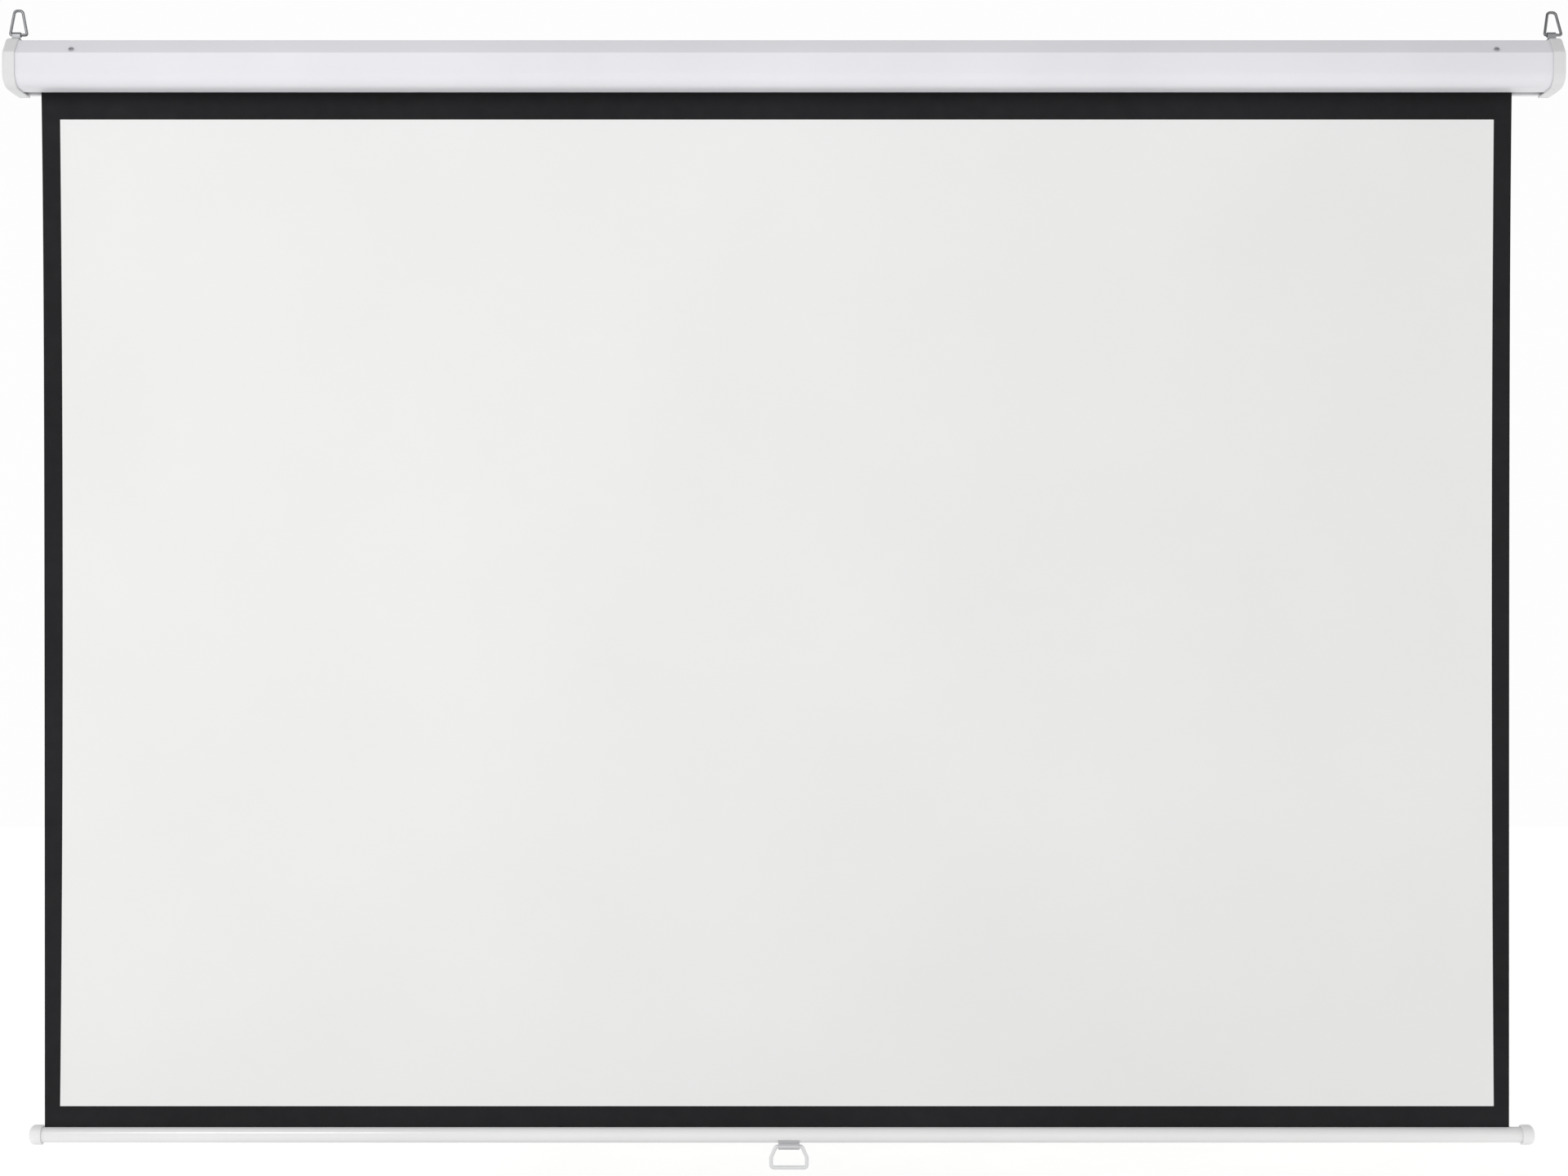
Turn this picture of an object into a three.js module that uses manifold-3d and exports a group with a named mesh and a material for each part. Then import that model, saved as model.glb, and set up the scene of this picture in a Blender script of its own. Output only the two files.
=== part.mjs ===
// A pull-down projection screen, hung by two rings and drawn all the way out.
// Millimetres. +X is the viewer's right, +Y goes into the wall and +Z is up.
// The origin is the centre of the case's flat back face.
import * as THREE from 'three';
import { mergeVertices } from 'three/addons/utils/BufferGeometryUtils.js';
import Module from 'manifold-3d';

const wasm = await Module();
wasm.setup();

// Fits and finish of curves
const fitGap = 0.3;
const cutOverrun = 1;
const weldDistance = 0.0001;
const roundSides = 28;
const smallRoundSides = 14;
const cornerSteps = 5;

// Case: one channel of rolled steel, open along the bottom where the screen comes out
const caseWall = 1.2;
const rollFrontRoom = 11;
const rollTopRoom = 12;
const chamferDepth = 16;
const chamferDrop = 21;
const frontHeight = 26;
const bellyRadius = 20;
const bellySteps = 10;
const slotWidth = 18;
const slotFromBack = 8;
const lipHeight = 5;

// End caps: moulded covers that slip over the ends of the case
const capLength = 18;
const capWall = 2.2;
const capEndWall = 4.5;
const capEdgeRadius = 5;
const capEdgeSteps = 5;

// End brackets: a steel plate inside each end of the case, with an arm screwed behind the chamfer
const bracketThickness = 2;
const bracketArmPastScrew = 14.8;
const bracketArmInset = 4;
const capScrewUpper = { fromBack: 14, fromMiddle: 22 };
const capScrewLower = { fromBack: 54, fromMiddle: -14 };

// Screws, all of one size
const screwShankRadius = 1.8;
const screwHeadRadius = 3.6;
const screwHeadHeight = 2.2;
const screwHeadEdge = 0.8;
const screwTip = 1.4;
const screwReach = 1.3;
const screwRecess = screwHeadHeight + 2 * fitGap;
const caseScrewInset = 96;
const caseScrewDownShare = 0.77;

// Hanging rings: a bent wire triangle in a strap on top of each end cap
const ringWireRadius = 2;
const ringPlay = 5.9;
const ringTopWidth = 11;
const ringHeight = 34;
const ringFootRadius = 2.2;
const ringTopRadius = 5;
const ringWireSides = 8;
const strapWidth = 12;
const strapThickness = 1.5;
const strapFromCapRim = 6.5;
const strapFromBack = 38;
const strapEyeHeight = 7.5;
const strapScrewRoom = 1.85;
const strapFootRim = 2.4;
const strapScrewLength = 7;
const leftRingSlide = 2.6;
const rightRingSlide = 2.6;
const leftRingLean = THREE.MathUtils.degToRad(0);
const rightRingLean = THREE.MathUtils.degToRad(12);

// Roller: a steel tube across the case, hung on a plain axle at the left and a sprung one at the right
const rollerRadius = 19;
const rollerWall = 1;
const rollerAboveMiddle = 2;
const idleEndRoom = 20.2;
const lockEndRoom = 28.2;
const plugSpigotLength = 16;
const plugFlangeThickness = 4;
const axleRadius = 4;
const bushWall = 2;
const bushLength = 6;
const bushFlangeRadius = 9;
const bushFlangeThickness = 2;

// Lock: two pawls on the turning head drop into the notches of a ratchet wheel that stands still
const headRim = 1.1;
const ratchetRadius = 12;
const ratchetThickness = 5;
const ratchetNotches = 4;
const notchDepth = 3;
const notchRamp = THREE.MathUtils.degToRad(50);
const notchSteps = 6;
const stopFaceSteps = 3;
const pawlEyeRoom = 2.1;
const pawlEyeRadius = 3.4;
const pawlPinRadius = 2;
const pawlTipAngle = THREE.MathUtils.degToRad(35);
const pawlTipHeight = 3.4;
const pawlLift = THREE.MathUtils.degToRad(22);
const pawlThickness = 4;
const pawlCount = 2;

// Spring motor inside the roller
const springWireRadius = 1.1;
const springMeanRadius = 10;
const springTurns = 32;
const springStepsPerTurn = 8;
const springWireSides = 5;
const springLength = 362;
const springSeat = 16;
const anchorNoseLength = 22;
const anchorFlangeRadius = 13;
const anchorFlangeLength = 6;
const anchorFromHead = 18;
const drivePlugLength = 20;
const spindleEndInPlug = 12;
const tangHeight = 7;
const tangThickness = 3.2;
const tangShoulder = 2;

// Screen: one coated sheet that leaves the rear of the roller
const sheetWidth = 2076;
const sheetInsetLeft = 18;
const sheetInsetRight = 30;
const sheetFromSlotRear = 8.5;
const sheetThickness = 0.4;
const screenDrop = 1463;
const bottomBorder = 29.5;
const leaderThickness = 0.7;

// Weight bar: a slotted tube that grips the sheet's hem by a rod
const barRadius = 11;
const barWall = 1.2;
const barSlot = 2.4;
const barPastSheetLeft = 20;
const barPastSheetRight = 34;
const barCapWall = 2.7;
const barCapLength = 18.5;
const barCapEndWall = 5;
const barCapDome = 9;
const barCapDomeSteps = 6;
const barCapStemLength = 5;
const hemRodRadius = 2.5;
const hemRodInset = 4;

// Pull handle: a moulded loop that swings in a saddle under the bar
const handleFromBarCentre = 10;
const handleRadius = 2.7;
const handleShoulderRoom = 3.5;
const handleBottomWidth = 50.6;
const handleShoulderDrop = 15.5;
const handleDrop = 29.8;
const handleCornerRadius = 4;
const handleSides = 10;
const saddleWidth = 30;
const saddleThickness = 1.5;
const saddleHalfAngle = THREE.MathUtils.degToRad(58);
const saddleSteps = 10;
const saddleEyeSink = 0.6;
const rivetRadius = 1.5;
const rivetHeadRadius = 2.8;
const rivetHeadHeight = 1;
const rivetLength = 5;
const rivetEdge = 5;
const rivetAngle = THREE.MathUtils.degToRad(40);

// The roller is as long as the sheet needs, and the case as long as the roller needs
const rollerLength = sheetWidth + sheetInsetLeft + sheetInsetRight;
const caseLength = rollerLength + idleEndRoom + lockEndRoom;
const overallLength = caseLength + 2 * (capEndWall + fitGap);
const caseEnd = caseLength / 2;
const rollerLeftEnd = idleEndRoom - caseEnd;
const rollerRightEnd = caseEnd - lockEndRoom;
const sheetLeft = rollerLeftEnd + sheetInsetLeft;
const sheetRight = rollerRightEnd - sheetInsetRight;
const sheetCentre = (sheetLeft + sheetRight) / 2;
const barHalfLength = (sheetWidth + barPastSheetLeft + barPastSheetRight) / 2;
const barCentre = sheetCentre + (barPastSheetRight - barPastSheetLeft) / 2;

// The slot sets where the sheet hangs, the sheet sets the roller, and the roller sets the case
const leaderRadius = rollerRadius + fitGap + leaderThickness;
const sheetY = -slotFromBack - sheetFromSlotRear;
const rollerY = sheetY - sheetThickness / 2 - fitGap - leaderRadius;
const rollerZ = rollerAboveMiddle;
const caseDepth = leaderRadius + rollFrontRoom - rollerY;
const caseHeight = 2 * (rollerAboveMiddle + leaderRadius + rollTopRoom);

// Other places worked out from the sizes
const caseTop = caseHeight / 2;
const capTop = caseTop + fitGap + capWall;
const bracketArmLength = caseScrewInset - capEndWall - fitGap + bracketArmPastScrew;
const strapX = overallLength / 2 - capLength + strapFromCapRim;
const strapEyeRadius = ringWireRadius + fitGap + strapThickness;
const strapScrewFromEye = strapEyeRadius + screwHeadRadius + strapScrewRoom;
const strapFootLength = strapScrewFromEye + screwHeadRadius + strapFootRim;
const ringBaseWidth = strapWidth + 2 * ringPlay;
const ringAxisZ = capTop + fitGap + strapEyeHeight;
const barZ = -caseTop - screenDrop - barRadius;
const barInnerRadius = barRadius - barWall;
const barCapRadius = barRadius + fitGap + barCapWall;
const sheetBottomZ = barZ + barRadius + bottomBorder;
const handleTopWidth = saddleWidth + 2 * handleShoulderRoom;
const rivetSpacing = saddleWidth - 2 * rivetEdge;
const pawlPivotRadius = ratchetRadius + pawlEyeRadius + pawlEyeRoom;
const headFlangeRadius = pawlPivotRadius + pawlEyeRadius + headRim;
const springFlatRadius = springMeanRadius * Math.cos(Math.PI / springStepsPerTurn);
const springInnerRadius = springFlatRadius - springWireRadius;

// Finishes
function finish(color, roughness, metalness) {
  return new THREE.MeshStandardMaterial({ color, roughness, metalness });
}
const whiteEnamel = finish(0xe9e9ec, 0.38, 0.1);
const whitePlastic = finish(0xe6e7e8, 0.45, 0);
const zincSteel = finish(0xa9acb0, 0.35, 0.9);
const brightWire = finish(0xb9bcc0, 0.25, 1);
const darkSteel = finish(0x8d8f93, 0.4, 0.8);
const springSteel = finish(0x5f6266, 0.35, 0.9);
const nylon = finish(0xd9d6cb, 0.6, 0);
const greyPlastic = finish(0x5c5f63, 0.6, 0);
const mattWhiteCloth = finish(0xebebea, 0.9, 0);
const blackCloth = finish(0x28272b, 0.9, 0);
const handlePlastic = finish(0xdadbdc, 0.4, 0);

// Closed meshes, and joining and cutting them

// A copy with shared corners merged and flat slivers left out
function weld(geometry) {
  const bare = geometry.clone();
  bare.deleteAttribute('normal');
  bare.deleteAttribute('uv');
  const merged = mergeVertices(bare, weldDistance);
  const corners = merged.index.array;
  const kept = [];
  for (let i = 0; i < corners.length; i += 3) {
    const [a, b, c] = corners.slice(i, i + 3);
    if (a !== b && b !== c && c !== a) kept.push(a, b, c);
  }
  merged.setIndex(kept);
  return merged;
}

function toSolid(geometry) {
  const welded = weld(geometry);
  const vertProperties = new Float32Array(welded.attributes.position.array);
  const triVerts = new Uint32Array(welded.index.array);
  return new wasm.Manifold(new wasm.Mesh({ numProp: 3, vertProperties, triVerts }));
}

function toGeometry(solid) {
  const mesh = solid.getMesh();
  const geometry = new THREE.BufferGeometry();
  geometry.setAttribute('position', new THREE.BufferAttribute(mesh.vertProperties, mesh.numProp));
  geometry.setIndex(new THREE.BufferAttribute(mesh.triVerts, 1));
  return geometry;
}

function join(...geometries) {
  return toGeometry(geometries.map(toSolid).reduce((whole, piece) => whole.add(piece)));
}

function cut(geometry, ...tools) {
  return toGeometry(tools.map(toSolid).reduce((body, tool) => body.subtract(tool), toSolid(geometry)));
}

// The same form seen in a mirror across X, still facing out
function mirrorX(geometry) {
  const mirrored = weld(geometry);
  mirrored.scale(-1, 1, 1);
  const corners = mirrored.index.array;
  for (let i = 0; i < corners.length; i += 3) {
    [corners[i], corners[i + 1]] = [corners[i + 1], corners[i]];
  }
  return mirrored;
}

// Outlines are lists of points with the solid on their left, drawn as (depth, height)

// Moves each point sideways so that every edge shifts by the distance, out when it is positive
function offsetPoints(points, distance, closed) {
  const count = points.length;
  return points.map((point, i) => {
    const before = points[closed ? (i + count - 1) % count : Math.max(i - 1, 0)];
    const after = points[closed ? (i + 1) % count : Math.min(i + 1, count - 1)];
    const inward = point.clone().sub(before);
    const onward = after.clone().sub(point);
    if (inward.lengthSq() === 0) inward.copy(onward);
    if (onward.lengthSq() === 0) onward.copy(inward);
    const first = new THREE.Vector2(inward.y, -inward.x).normalize();
    const second = new THREE.Vector2(onward.y, -onward.x).normalize();
    const mitre = first.clone().add(second).multiplyScalar(distance / (1 + first.dot(second)));
    return point.clone().add(mitre);
  });
}

// Points of an arc from one angle to the other, ends included
function arcPoints(centre, radius, from, to, steps) {
  return Array.from({ length: steps + 1 }, (_, i) => {
    const angle = from + ((to - from) * i) / steps;
    return new THREE.Vector2(centre.x + radius * Math.cos(angle), centre.y + radius * Math.sin(angle));
  });
}

// A closed outline with each corner rounded by its own radius
function roundedLoop(corners, radii) {
  return corners.flatMap((corner, i) => {
    const before = corners[(i + corners.length - 1) % corners.length].clone().sub(corner).normalize();
    const after = corners[(i + 1) % corners.length].clone().sub(corner).normalize();
    const half = Math.acos(THREE.MathUtils.clamp(before.dot(after), -1, 1)) / 2;
    const centre = before.clone().add(after).normalize()
      .multiplyScalar(radii[i] / Math.sin(half)).add(corner);
    const start = corner.clone().addScaledVector(before, radii[i] / Math.tan(half)).sub(centre);
    const end = corner.clone().addScaledVector(after, radii[i] / Math.tan(half)).sub(centre);
    let turn = end.angle() - start.angle();
    if (turn > Math.PI) turn -= 2 * Math.PI;
    if (turn < -Math.PI) turn += 2 * Math.PI;
    return arcPoints(centre, radii[i], start.angle(), start.angle() + turn, cornerSteps);
  });
}

function boxPoints(lowY, lowZ, highY, highZ) {
  const corner = (y, z) => new THREE.Vector2(y, z);
  return [corner(lowY, lowZ), corner(highY, lowZ), corner(highY, highZ), corner(lowY, highZ)];
}

// Solids along X

// A section drawn as (depth, height), carried along X from zero to the length
function extrudeX(points, length, holes = []) {
  const shape = new THREE.Shape(points);
  shape.holes = holes.map((hole) => new THREE.Path(hole));
  const geometry = new THREE.ExtrudeGeometry(shape, { depth: length, bevelEnabled: false });
  const basis = new THREE.Matrix4().makeBasis(
    new THREE.Vector3(0, 1, 0), new THREE.Vector3(0, 0, 1), new THREE.Vector3(1, 0, 0));
  return geometry.applyMatrix4(basis);
}

// A turned form: the profile is a list of [place along X, radius], outside walls toward +X
function turnX(profile, sides = roundSides) {
  const points = profile.map(([x, radius]) => new THREE.Vector2(radius, x));
  const geometry = new THREE.LatheGeometry(points, sides);
  const basis = new THREE.Matrix4().makeBasis(
    new THREE.Vector3(0, 1, 0), new THREE.Vector3(1, 0, 0), new THREE.Vector3(0, 0, -1));
  return geometry.applyMatrix4(basis);
}

function rodX(from, to, radius, sides = roundSides) {
  return turnX([[from, 0], [from, radius], [to, radius], [to, 0]], sides);
}

function tubeX(from, to, outer, inner, sides = roundSides) {
  return turnX([[from, inner], [from, outer], [to, outer], [to, inner], [from, inner]], sides);
}

function boxX(fromX, toX, lowY, highY, lowZ, highZ) {
  return extrudeX(boxPoints(lowY, lowZ, highY, highZ), toX - fromX).translate(fromX, 0, 0);
}

// A skin through stacked outlines of equal count, closed at both ends
function loftX(stations) {
  const count = stations[0].points.length;
  const positions = stations.flatMap(({ x, points }) => points.flatMap((p) => [x, p.x, p.y]));
  const triangles = [];
  for (let s = 0; s + 1 < stations.length; s += 1) {
    for (let i = 0; i < count; i += 1) {
      const a = s * count + i;
      const b = s * count + ((i + 1) % count);
      triangles.push(a, b, a + count, b, b + count, a + count);
    }
  }
  const lastRing = (stations.length - 1) * count;
  for (const [a, b, c] of THREE.ShapeUtils.triangulateShape(stations[0].points, [])) {
    triangles.push(a, c, b);
  }
  for (const [a, b, c] of THREE.ShapeUtils.triangulateShape(stations.at(-1).points, [])) {
    triangles.push(lastRing + a, lastRing + b, lastRing + c);
  }
  const geometry = new THREE.BufferGeometry();
  geometry.setAttribute('position', new THREE.Float32BufferAttribute(positions, 3));
  geometry.setIndex(triangles);
  return geometry;
}

// A round wire bent into a flat closed loop in the XZ plane
function wireLoop(path, radius, sides) {
  const positions = [];
  const triangles = [];
  const outward = offsetPoints(path, radius, true);
  path.forEach((point, i) => {
    const side = outward[i].clone().sub(point);
    for (let k = 0; k < sides; k += 1) {
      const angle = (2 * Math.PI * (k + 0.5)) / sides;
      const reach = Math.cos(angle);
      positions.push(point.x + side.x * reach, radius * Math.sin(angle), point.y + side.y * reach);
    }
  });
  for (let i = 0; i < path.length; i += 1) {
    for (let k = 0; k < sides; k += 1) {
      const next = (i + 1) % path.length;
      const a = i * sides + k;
      const b = i * sides + ((k + 1) % sides);
      const c = next * sides + k;
      const d = next * sides + ((k + 1) % sides);
      triangles.push(a, b, c, b, d, c);
    }
  }
  const geometry = new THREE.BufferGeometry();
  geometry.setAttribute('position', new THREE.Float32BufferAttribute(positions, 3));
  geometry.setIndex(triangles);
  return geometry;
}

// Building the tree
const screen = new THREE.Group();

function place(parent, name, geometry, material, x = 0, y = 0, z = 0) {
  const mesh = new THREE.Mesh(geometry, material);
  mesh.name = name;
  mesh.position.set(x, y, z);
  parent.add(mesh);
  return mesh;
}

// The case's section

const chamferTop = new THREE.Vector2(-(caseDepth - chamferDepth), caseTop);
const chamferFoot = new THREE.Vector2(-caseDepth, caseTop - chamferDrop);
const chamferAlong = chamferFoot.clone().sub(chamferTop);
const chamferLength = chamferAlong.length();
const chamferOut = new THREE.Vector2(chamferAlong.y, -chamferAlong.x).normalize();
const slotRear = new THREE.Vector2(-slotFromBack, -caseTop);
const slotFront = new THREE.Vector2(-slotFromBack - slotWidth, -caseTop);

// The outside of the case from the back corner up, over and down to the slot's front edge
function caseOutline() {
  const centre = new THREE.Vector2(bellyRadius - caseDepth, chamferFoot.y - frontHeight);
  const toSlot = slotFront.clone().sub(centre);
  const reach = Math.acos(Math.min(1, bellyRadius / toSlot.length()));
  const tangent = Math.atan2(toSlot.y, toSlot.x) - reach;
  const belly = arcPoints(centre, bellyRadius, -Math.PI, tangent, bellySteps);
  return [
    new THREE.Vector2(0, -caseTop),
    new THREE.Vector2(0, caseTop),
    chamferTop,
    chamferFoot,
    ...belly,
    slotFront,
  ];
}

// A strip of constant wall along an open path, the path being its outer side
function stripOutline(path, wall) {
  return [...path, ...offsetPoints(path, -wall, false).reverse()];
}

function screwHole(length) {
  return rodX(-length, length, screwShankRadius + fitGap, smallRoundSides);
}

// Turns a form built along X so that +X points out of the chamfer, at the case screw's place
function onChamfer(geometry, x) {
  const spot = chamferTop.clone().addScaledVector(chamferAlong, caseScrewDownShare);
  const out = new THREE.Vector3(0, chamferOut.x, chamferOut.y);
  const side = new THREE.Vector3(1, 0, 0);
  const up = new THREE.Vector3().crossVectors(out, side);
  const turned = new THREE.Matrix4().makeBasis(out, side, up);
  return geometry.applyMatrix4(turned.setPosition(x, spot.x, spot.y));
}

// Turns a form built along X so that +X points up, at a strap screw's place
function onStrap(geometry, x) {
  const up = new THREE.Vector3(0, 0, 1);
  const side = new THREE.Vector3(1, 0, 0);
  const turned = new THREE.Matrix4().makeBasis(up, side, new THREE.Vector3().crossVectors(up, side));
  return geometry.applyMatrix4(turned.setPosition(x, -strapFromBack + strapScrewFromEye, capTop));
}

const caseScrewX = overallLength / 2 - caseScrewInset;
const deepCut = caseHeight / 3;

// Case shell
function caseShell() {
  const lipRise = new THREE.Vector2(0, lipHeight);
  const path = [
    slotRear.clone().add(lipRise),
    slotRear,
    ...caseOutline(),
    slotFront.clone().add(lipRise),
  ];
  const shell = extrudeX(stripOutline(path, caseWall), 2 * caseEnd).translate(-caseEnd, 0, 0);
  const holes = [-1, 1].flatMap((side) => [
    onChamfer(screwHole(deepCut / 2), side * caseScrewX),
    onStrap(screwHole(deepCut / 2), side * strapX),
  ]);
  return cut(shell, ...holes);
}

// End cap for the right, from its rim at zero to the closed end, flush with the case's back
function endCap() {
  const outline = caseOutline();
  const outer = offsetPoints(outline, fitGap + capWall, true);
  const stations = [{ x: 0, points: outer }];
  for (let i = 0; i <= capEdgeSteps; i += 1) {
    const angle = (Math.PI / 2) * (i / capEdgeSteps);
    const drawnIn = capEdgeRadius * (1 - Math.cos(angle));
    stations.push({
      x: capLength - capEdgeRadius * (1 - Math.sin(angle)),
      points: offsetPoints(outline, fitGap + capWall - drawnIn, true),
    });
  }
  const pocketDepth = capLength - capEndWall;
  const pocket = extrudeX(offsetPoints(outline, fitGap, true), pocketDepth + cutOverrun)
    .translate(-cutOverrun, 0, 0);
  const fromRim = overallLength / 2 - capLength;
  const endHoles = [capScrewUpper, capScrewLower].flatMap(({ fromBack, fromMiddle }) => [
    rodX(0, capLength, screwShankRadius + fitGap, smallRoundSides),
    rodX(capLength - screwRecess, capLength + cutOverrun, screwHeadRadius + fitGap, smallRoundSides),
  ].map((hole) => hole.translate(0, -fromBack, fromMiddle)));
  const strapHole = onStrap(screwHole(deepCut / 2), strapX - fromRim);
  const behindBack = boxX(-cutOverrun, capLength + cutOverrun, 0, caseDepth, -caseHeight, caseHeight);
  return cut(loftX(stations), behindBack, pocket, strapHole, ...endHoles);
}

// End bracket for the right, with the plate's outer face at zero and the arm toward -X
function endBracket(axleHole) {
  const plateOutline = offsetPoints(caseOutline(), -caseWall - fitGap, true);
  const plate = extrudeX(plateOutline, bracketThickness).translate(-bracketThickness, 0, 0);
  const lipRoom = caseWall + fitGap;
  const lipNotch = boxX(
    -bracketThickness - cutOverrun, cutOverrun,
    slotFront.x - lipRoom, slotRear.x + lipRoom,
    -caseTop - cutOverrun, -caseTop + lipHeight + fitGap,
  );
  const along = chamferAlong.clone().normalize();
  const corner = (down, deep) => chamferTop.clone().addScaledVector(along, down)
    .addScaledVector(chamferOut, -deep);
  const armFace = caseWall + fitGap;
  const armBack = armFace + bracketThickness;
  const armOutline = [
    corner(bracketArmInset, armFace),
    corner(chamferLength - bracketArmInset / 2, armFace),
    corner(chamferLength - bracketArmInset / 2, armBack),
    corner(bracketArmInset, armBack),
  ];
  const arm = extrudeX(armOutline, bracketArmLength).translate(-bracketArmLength, 0, 0);
  const holes = [capScrewUpper, capScrewLower].map(({ fromBack, fromMiddle }) =>
    screwHole(bracketThickness + cutOverrun).translate(0, -fromBack, fromMiddle));
  const armHole = onChamfer(screwHole(deepCut / 2), caseScrewX - caseEnd);
  return cut(join(plate, arm), lipNotch, axleHole, armHole, ...holes);
}

// A pan-head screw along X: the head's seat at zero, the head toward +X and the shank toward -X
function screw(shankLength) {
  return turnX([
    [-shankLength, 0],
    [-shankLength + screwTip, screwShankRadius],
    [0, screwShankRadius],
    [0, screwHeadRadius],
    [screwHeadHeight - screwHeadEdge, screwHeadRadius],
    [screwHeadHeight, screwHeadRadius - screwHeadEdge],
    [screwHeadHeight, 0],
  ], smallRoundSides);
}

place(screen, 'case_shell', caseShell(), whiteEnamel);

const capRim = overallLength / 2 - capLength;
place(screen, 'right_end_cap', endCap(), whitePlastic, capRim);
place(screen, 'left_end_cap', mirrorX(endCap()), whitePlastic, -capRim);

const bushHole = rodX(-capLength, capLength, axleRadius + bushWall + 2 * fitGap)
  .translate(0, rollerY, rollerZ);
const tangHole = boxX(
  -capLength, capLength,
  rollerY - tangThickness / 2 - fitGap, rollerY + tangThickness / 2 + fitGap,
  rollerZ - tangHeight / 2 - fitGap, rollerZ + tangHeight / 2 + fitGap,
);
place(screen, 'right_end_bracket', endBracket(tangHole), zincSteel, caseEnd);
place(screen, 'left_end_bracket', mirrorX(endBracket(bushHole)), zincSteel, -caseEnd);

const caseScrewLength = caseWall + bracketThickness + 2 * fitGap + screwReach;
const capScrewLength = capEndWall - screwRecess + bracketThickness + 2 * fitGap + screwReach;
for (const [side, hand] of [[1, 'right'], [-1, 'left']]) {
  const chamferScrew = onChamfer(screw(caseScrewLength).translate(fitGap, 0, 0), side * caseScrewX);
  place(screen, `${hand}_case_screw`, chamferScrew, darkSteel);
  const endScrew = () => {
    const form = screw(capScrewLength).translate(fitGap, 0, 0);
    return side > 0 ? form : mirrorX(form);
  };
  const endX = side * (overallLength / 2 - screwRecess);
  place(screen, `${hand}_cap_screw_upper`, endScrew(), darkSteel,
    endX, -capScrewUpper.fromBack, capScrewUpper.fromMiddle);
  place(screen, `${hand}_cap_screw_lower`, endScrew(), darkSteel,
    endX, -capScrewLower.fromBack, capScrewLower.fromMiddle);
}

// Hanging rings and their straps

// The strap's section: an eye round the ring's foot, a neck, and a foot flat on the cap
function ringStrap() {
  const neckFront = -strapEyeRadius;
  const footTop = strapThickness - strapEyeHeight;
  const half = strapWidth / 2;
  const eye = rodX(-half, half, strapEyeRadius);
  const neck = boxX(-half, half, neckFront, neckFront + 2 * strapThickness, -strapEyeHeight, 0);
  const foot = boxX(-half, half, neckFront, strapFootLength, -strapEyeHeight, footTop);
  const eyeBore = rodX(-strapWidth, strapWidth, ringWireRadius + fitGap);
  const drill = onStrap(screwHole(strapEyeHeight), 0)
    .translate(0, strapFromBack, -capTop - strapEyeHeight);
  return cut(join(eye, neck, foot), eyeBore, drill);
}

function ringPath() {
  const corner = (x, z) => new THREE.Vector2(x, z);
  const footHalf = ringBaseWidth / 2;
  const topHalf = ringTopWidth / 2;
  const corners = [
    corner(-footHalf, 0), corner(footHalf, 0), corner(topHalf, ringHeight), corner(-topHalf, ringHeight),
  ];
  return roundedLoop(corners, [ringFootRadius, ringFootRadius, ringTopRadius, ringTopRadius]);
}

for (const [side, hand, slide, lean] of [
  [1, 'right', rightRingSlide, rightRingLean],
  [-1, 'left', leftRingSlide, leftRingLean],
]) {
  place(screen, `${hand}_ring_strap`, ringStrap(), zincSteel, side * strapX, -strapFromBack, ringAxisZ);
  const screwForm = onStrap(screw(strapScrewLength), side * strapX)
    .translate(0, 0, strapThickness + 2 * fitGap);
  place(screen, `${hand}_strap_screw`, screwForm, darkSteel);
  const ring = place(screen, `${hand}_hanging_ring`, wireLoop(ringPath(), ringWireRadius, ringWireSides),
    brightWire, side * strapX + slide, -strapFromBack, ringAxisZ);
  ring.rotation.x = -lean;
}

// Roller, turning about its own X axis
const roller = new THREE.Group();
roller.position.set(0, rollerY, rollerZ);
screen.add(roller);

const tubeBore = rollerRadius - rollerWall;
place(roller, 'roller_tube', tubeX(rollerLeftEnd, rollerRightEnd, rollerRadius, tubeBore), zincSteel);

const leader = tubeX(sheetLeft, sheetRight, leaderRadius, rollerRadius + fitGap);
place(roller, 'wound_leader', leader, blackCloth);

// Idle end: a plug with a plain axle that runs in a bush in the left bracket
const idleFace = rollerLeftEnd - fitGap;
const spigotRadius = tubeBore - fitGap;
const idlePlug = turnX([
  [-caseEnd, 0],
  [-caseEnd, axleRadius],
  [idleFace - plugFlangeThickness, axleRadius],
  [idleFace - plugFlangeThickness, rollerRadius],
  [idleFace, rollerRadius],
  [idleFace, spigotRadius],
  [idleFace + plugSpigotLength, spigotRadius],
  [idleFace + plugSpigotLength, 0],
]);
place(roller, 'idle_end_plug', idlePlug, greyPlastic);

const bushBore = axleRadius + fitGap;
const bushOuter = bushBore + bushWall;
const bushFlangeFace = bracketThickness + fitGap;
const idleBush = turnX([
  [0, bushBore],
  [0, bushOuter],
  [bushFlangeFace, bushOuter],
  [bushFlangeFace, bushFlangeRadius],
  [bushFlangeFace + bushFlangeThickness, bushFlangeRadius],
  [bushFlangeFace + bushFlangeThickness, bushOuter],
  [bushLength, bushOuter],
  [bushLength, bushBore],
  [0, bushBore],
]);
place(screen, 'idle_bush', idleBush, nylon, -caseEnd, rollerY, rollerZ);

// Sprung end: the head closes the tube, turns on the spindle and carries the pawls
const headFace = rollerRightEnd + fitGap;
const ratchetFace = headFace + plugFlangeThickness + fitGap;
const pawlFace = ratchetFace + (ratchetThickness - pawlThickness) / 2;
const ratchetFar = ratchetFace + ratchetThickness;
const headBush = axleRadius + bushWall + fitGap;

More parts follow.
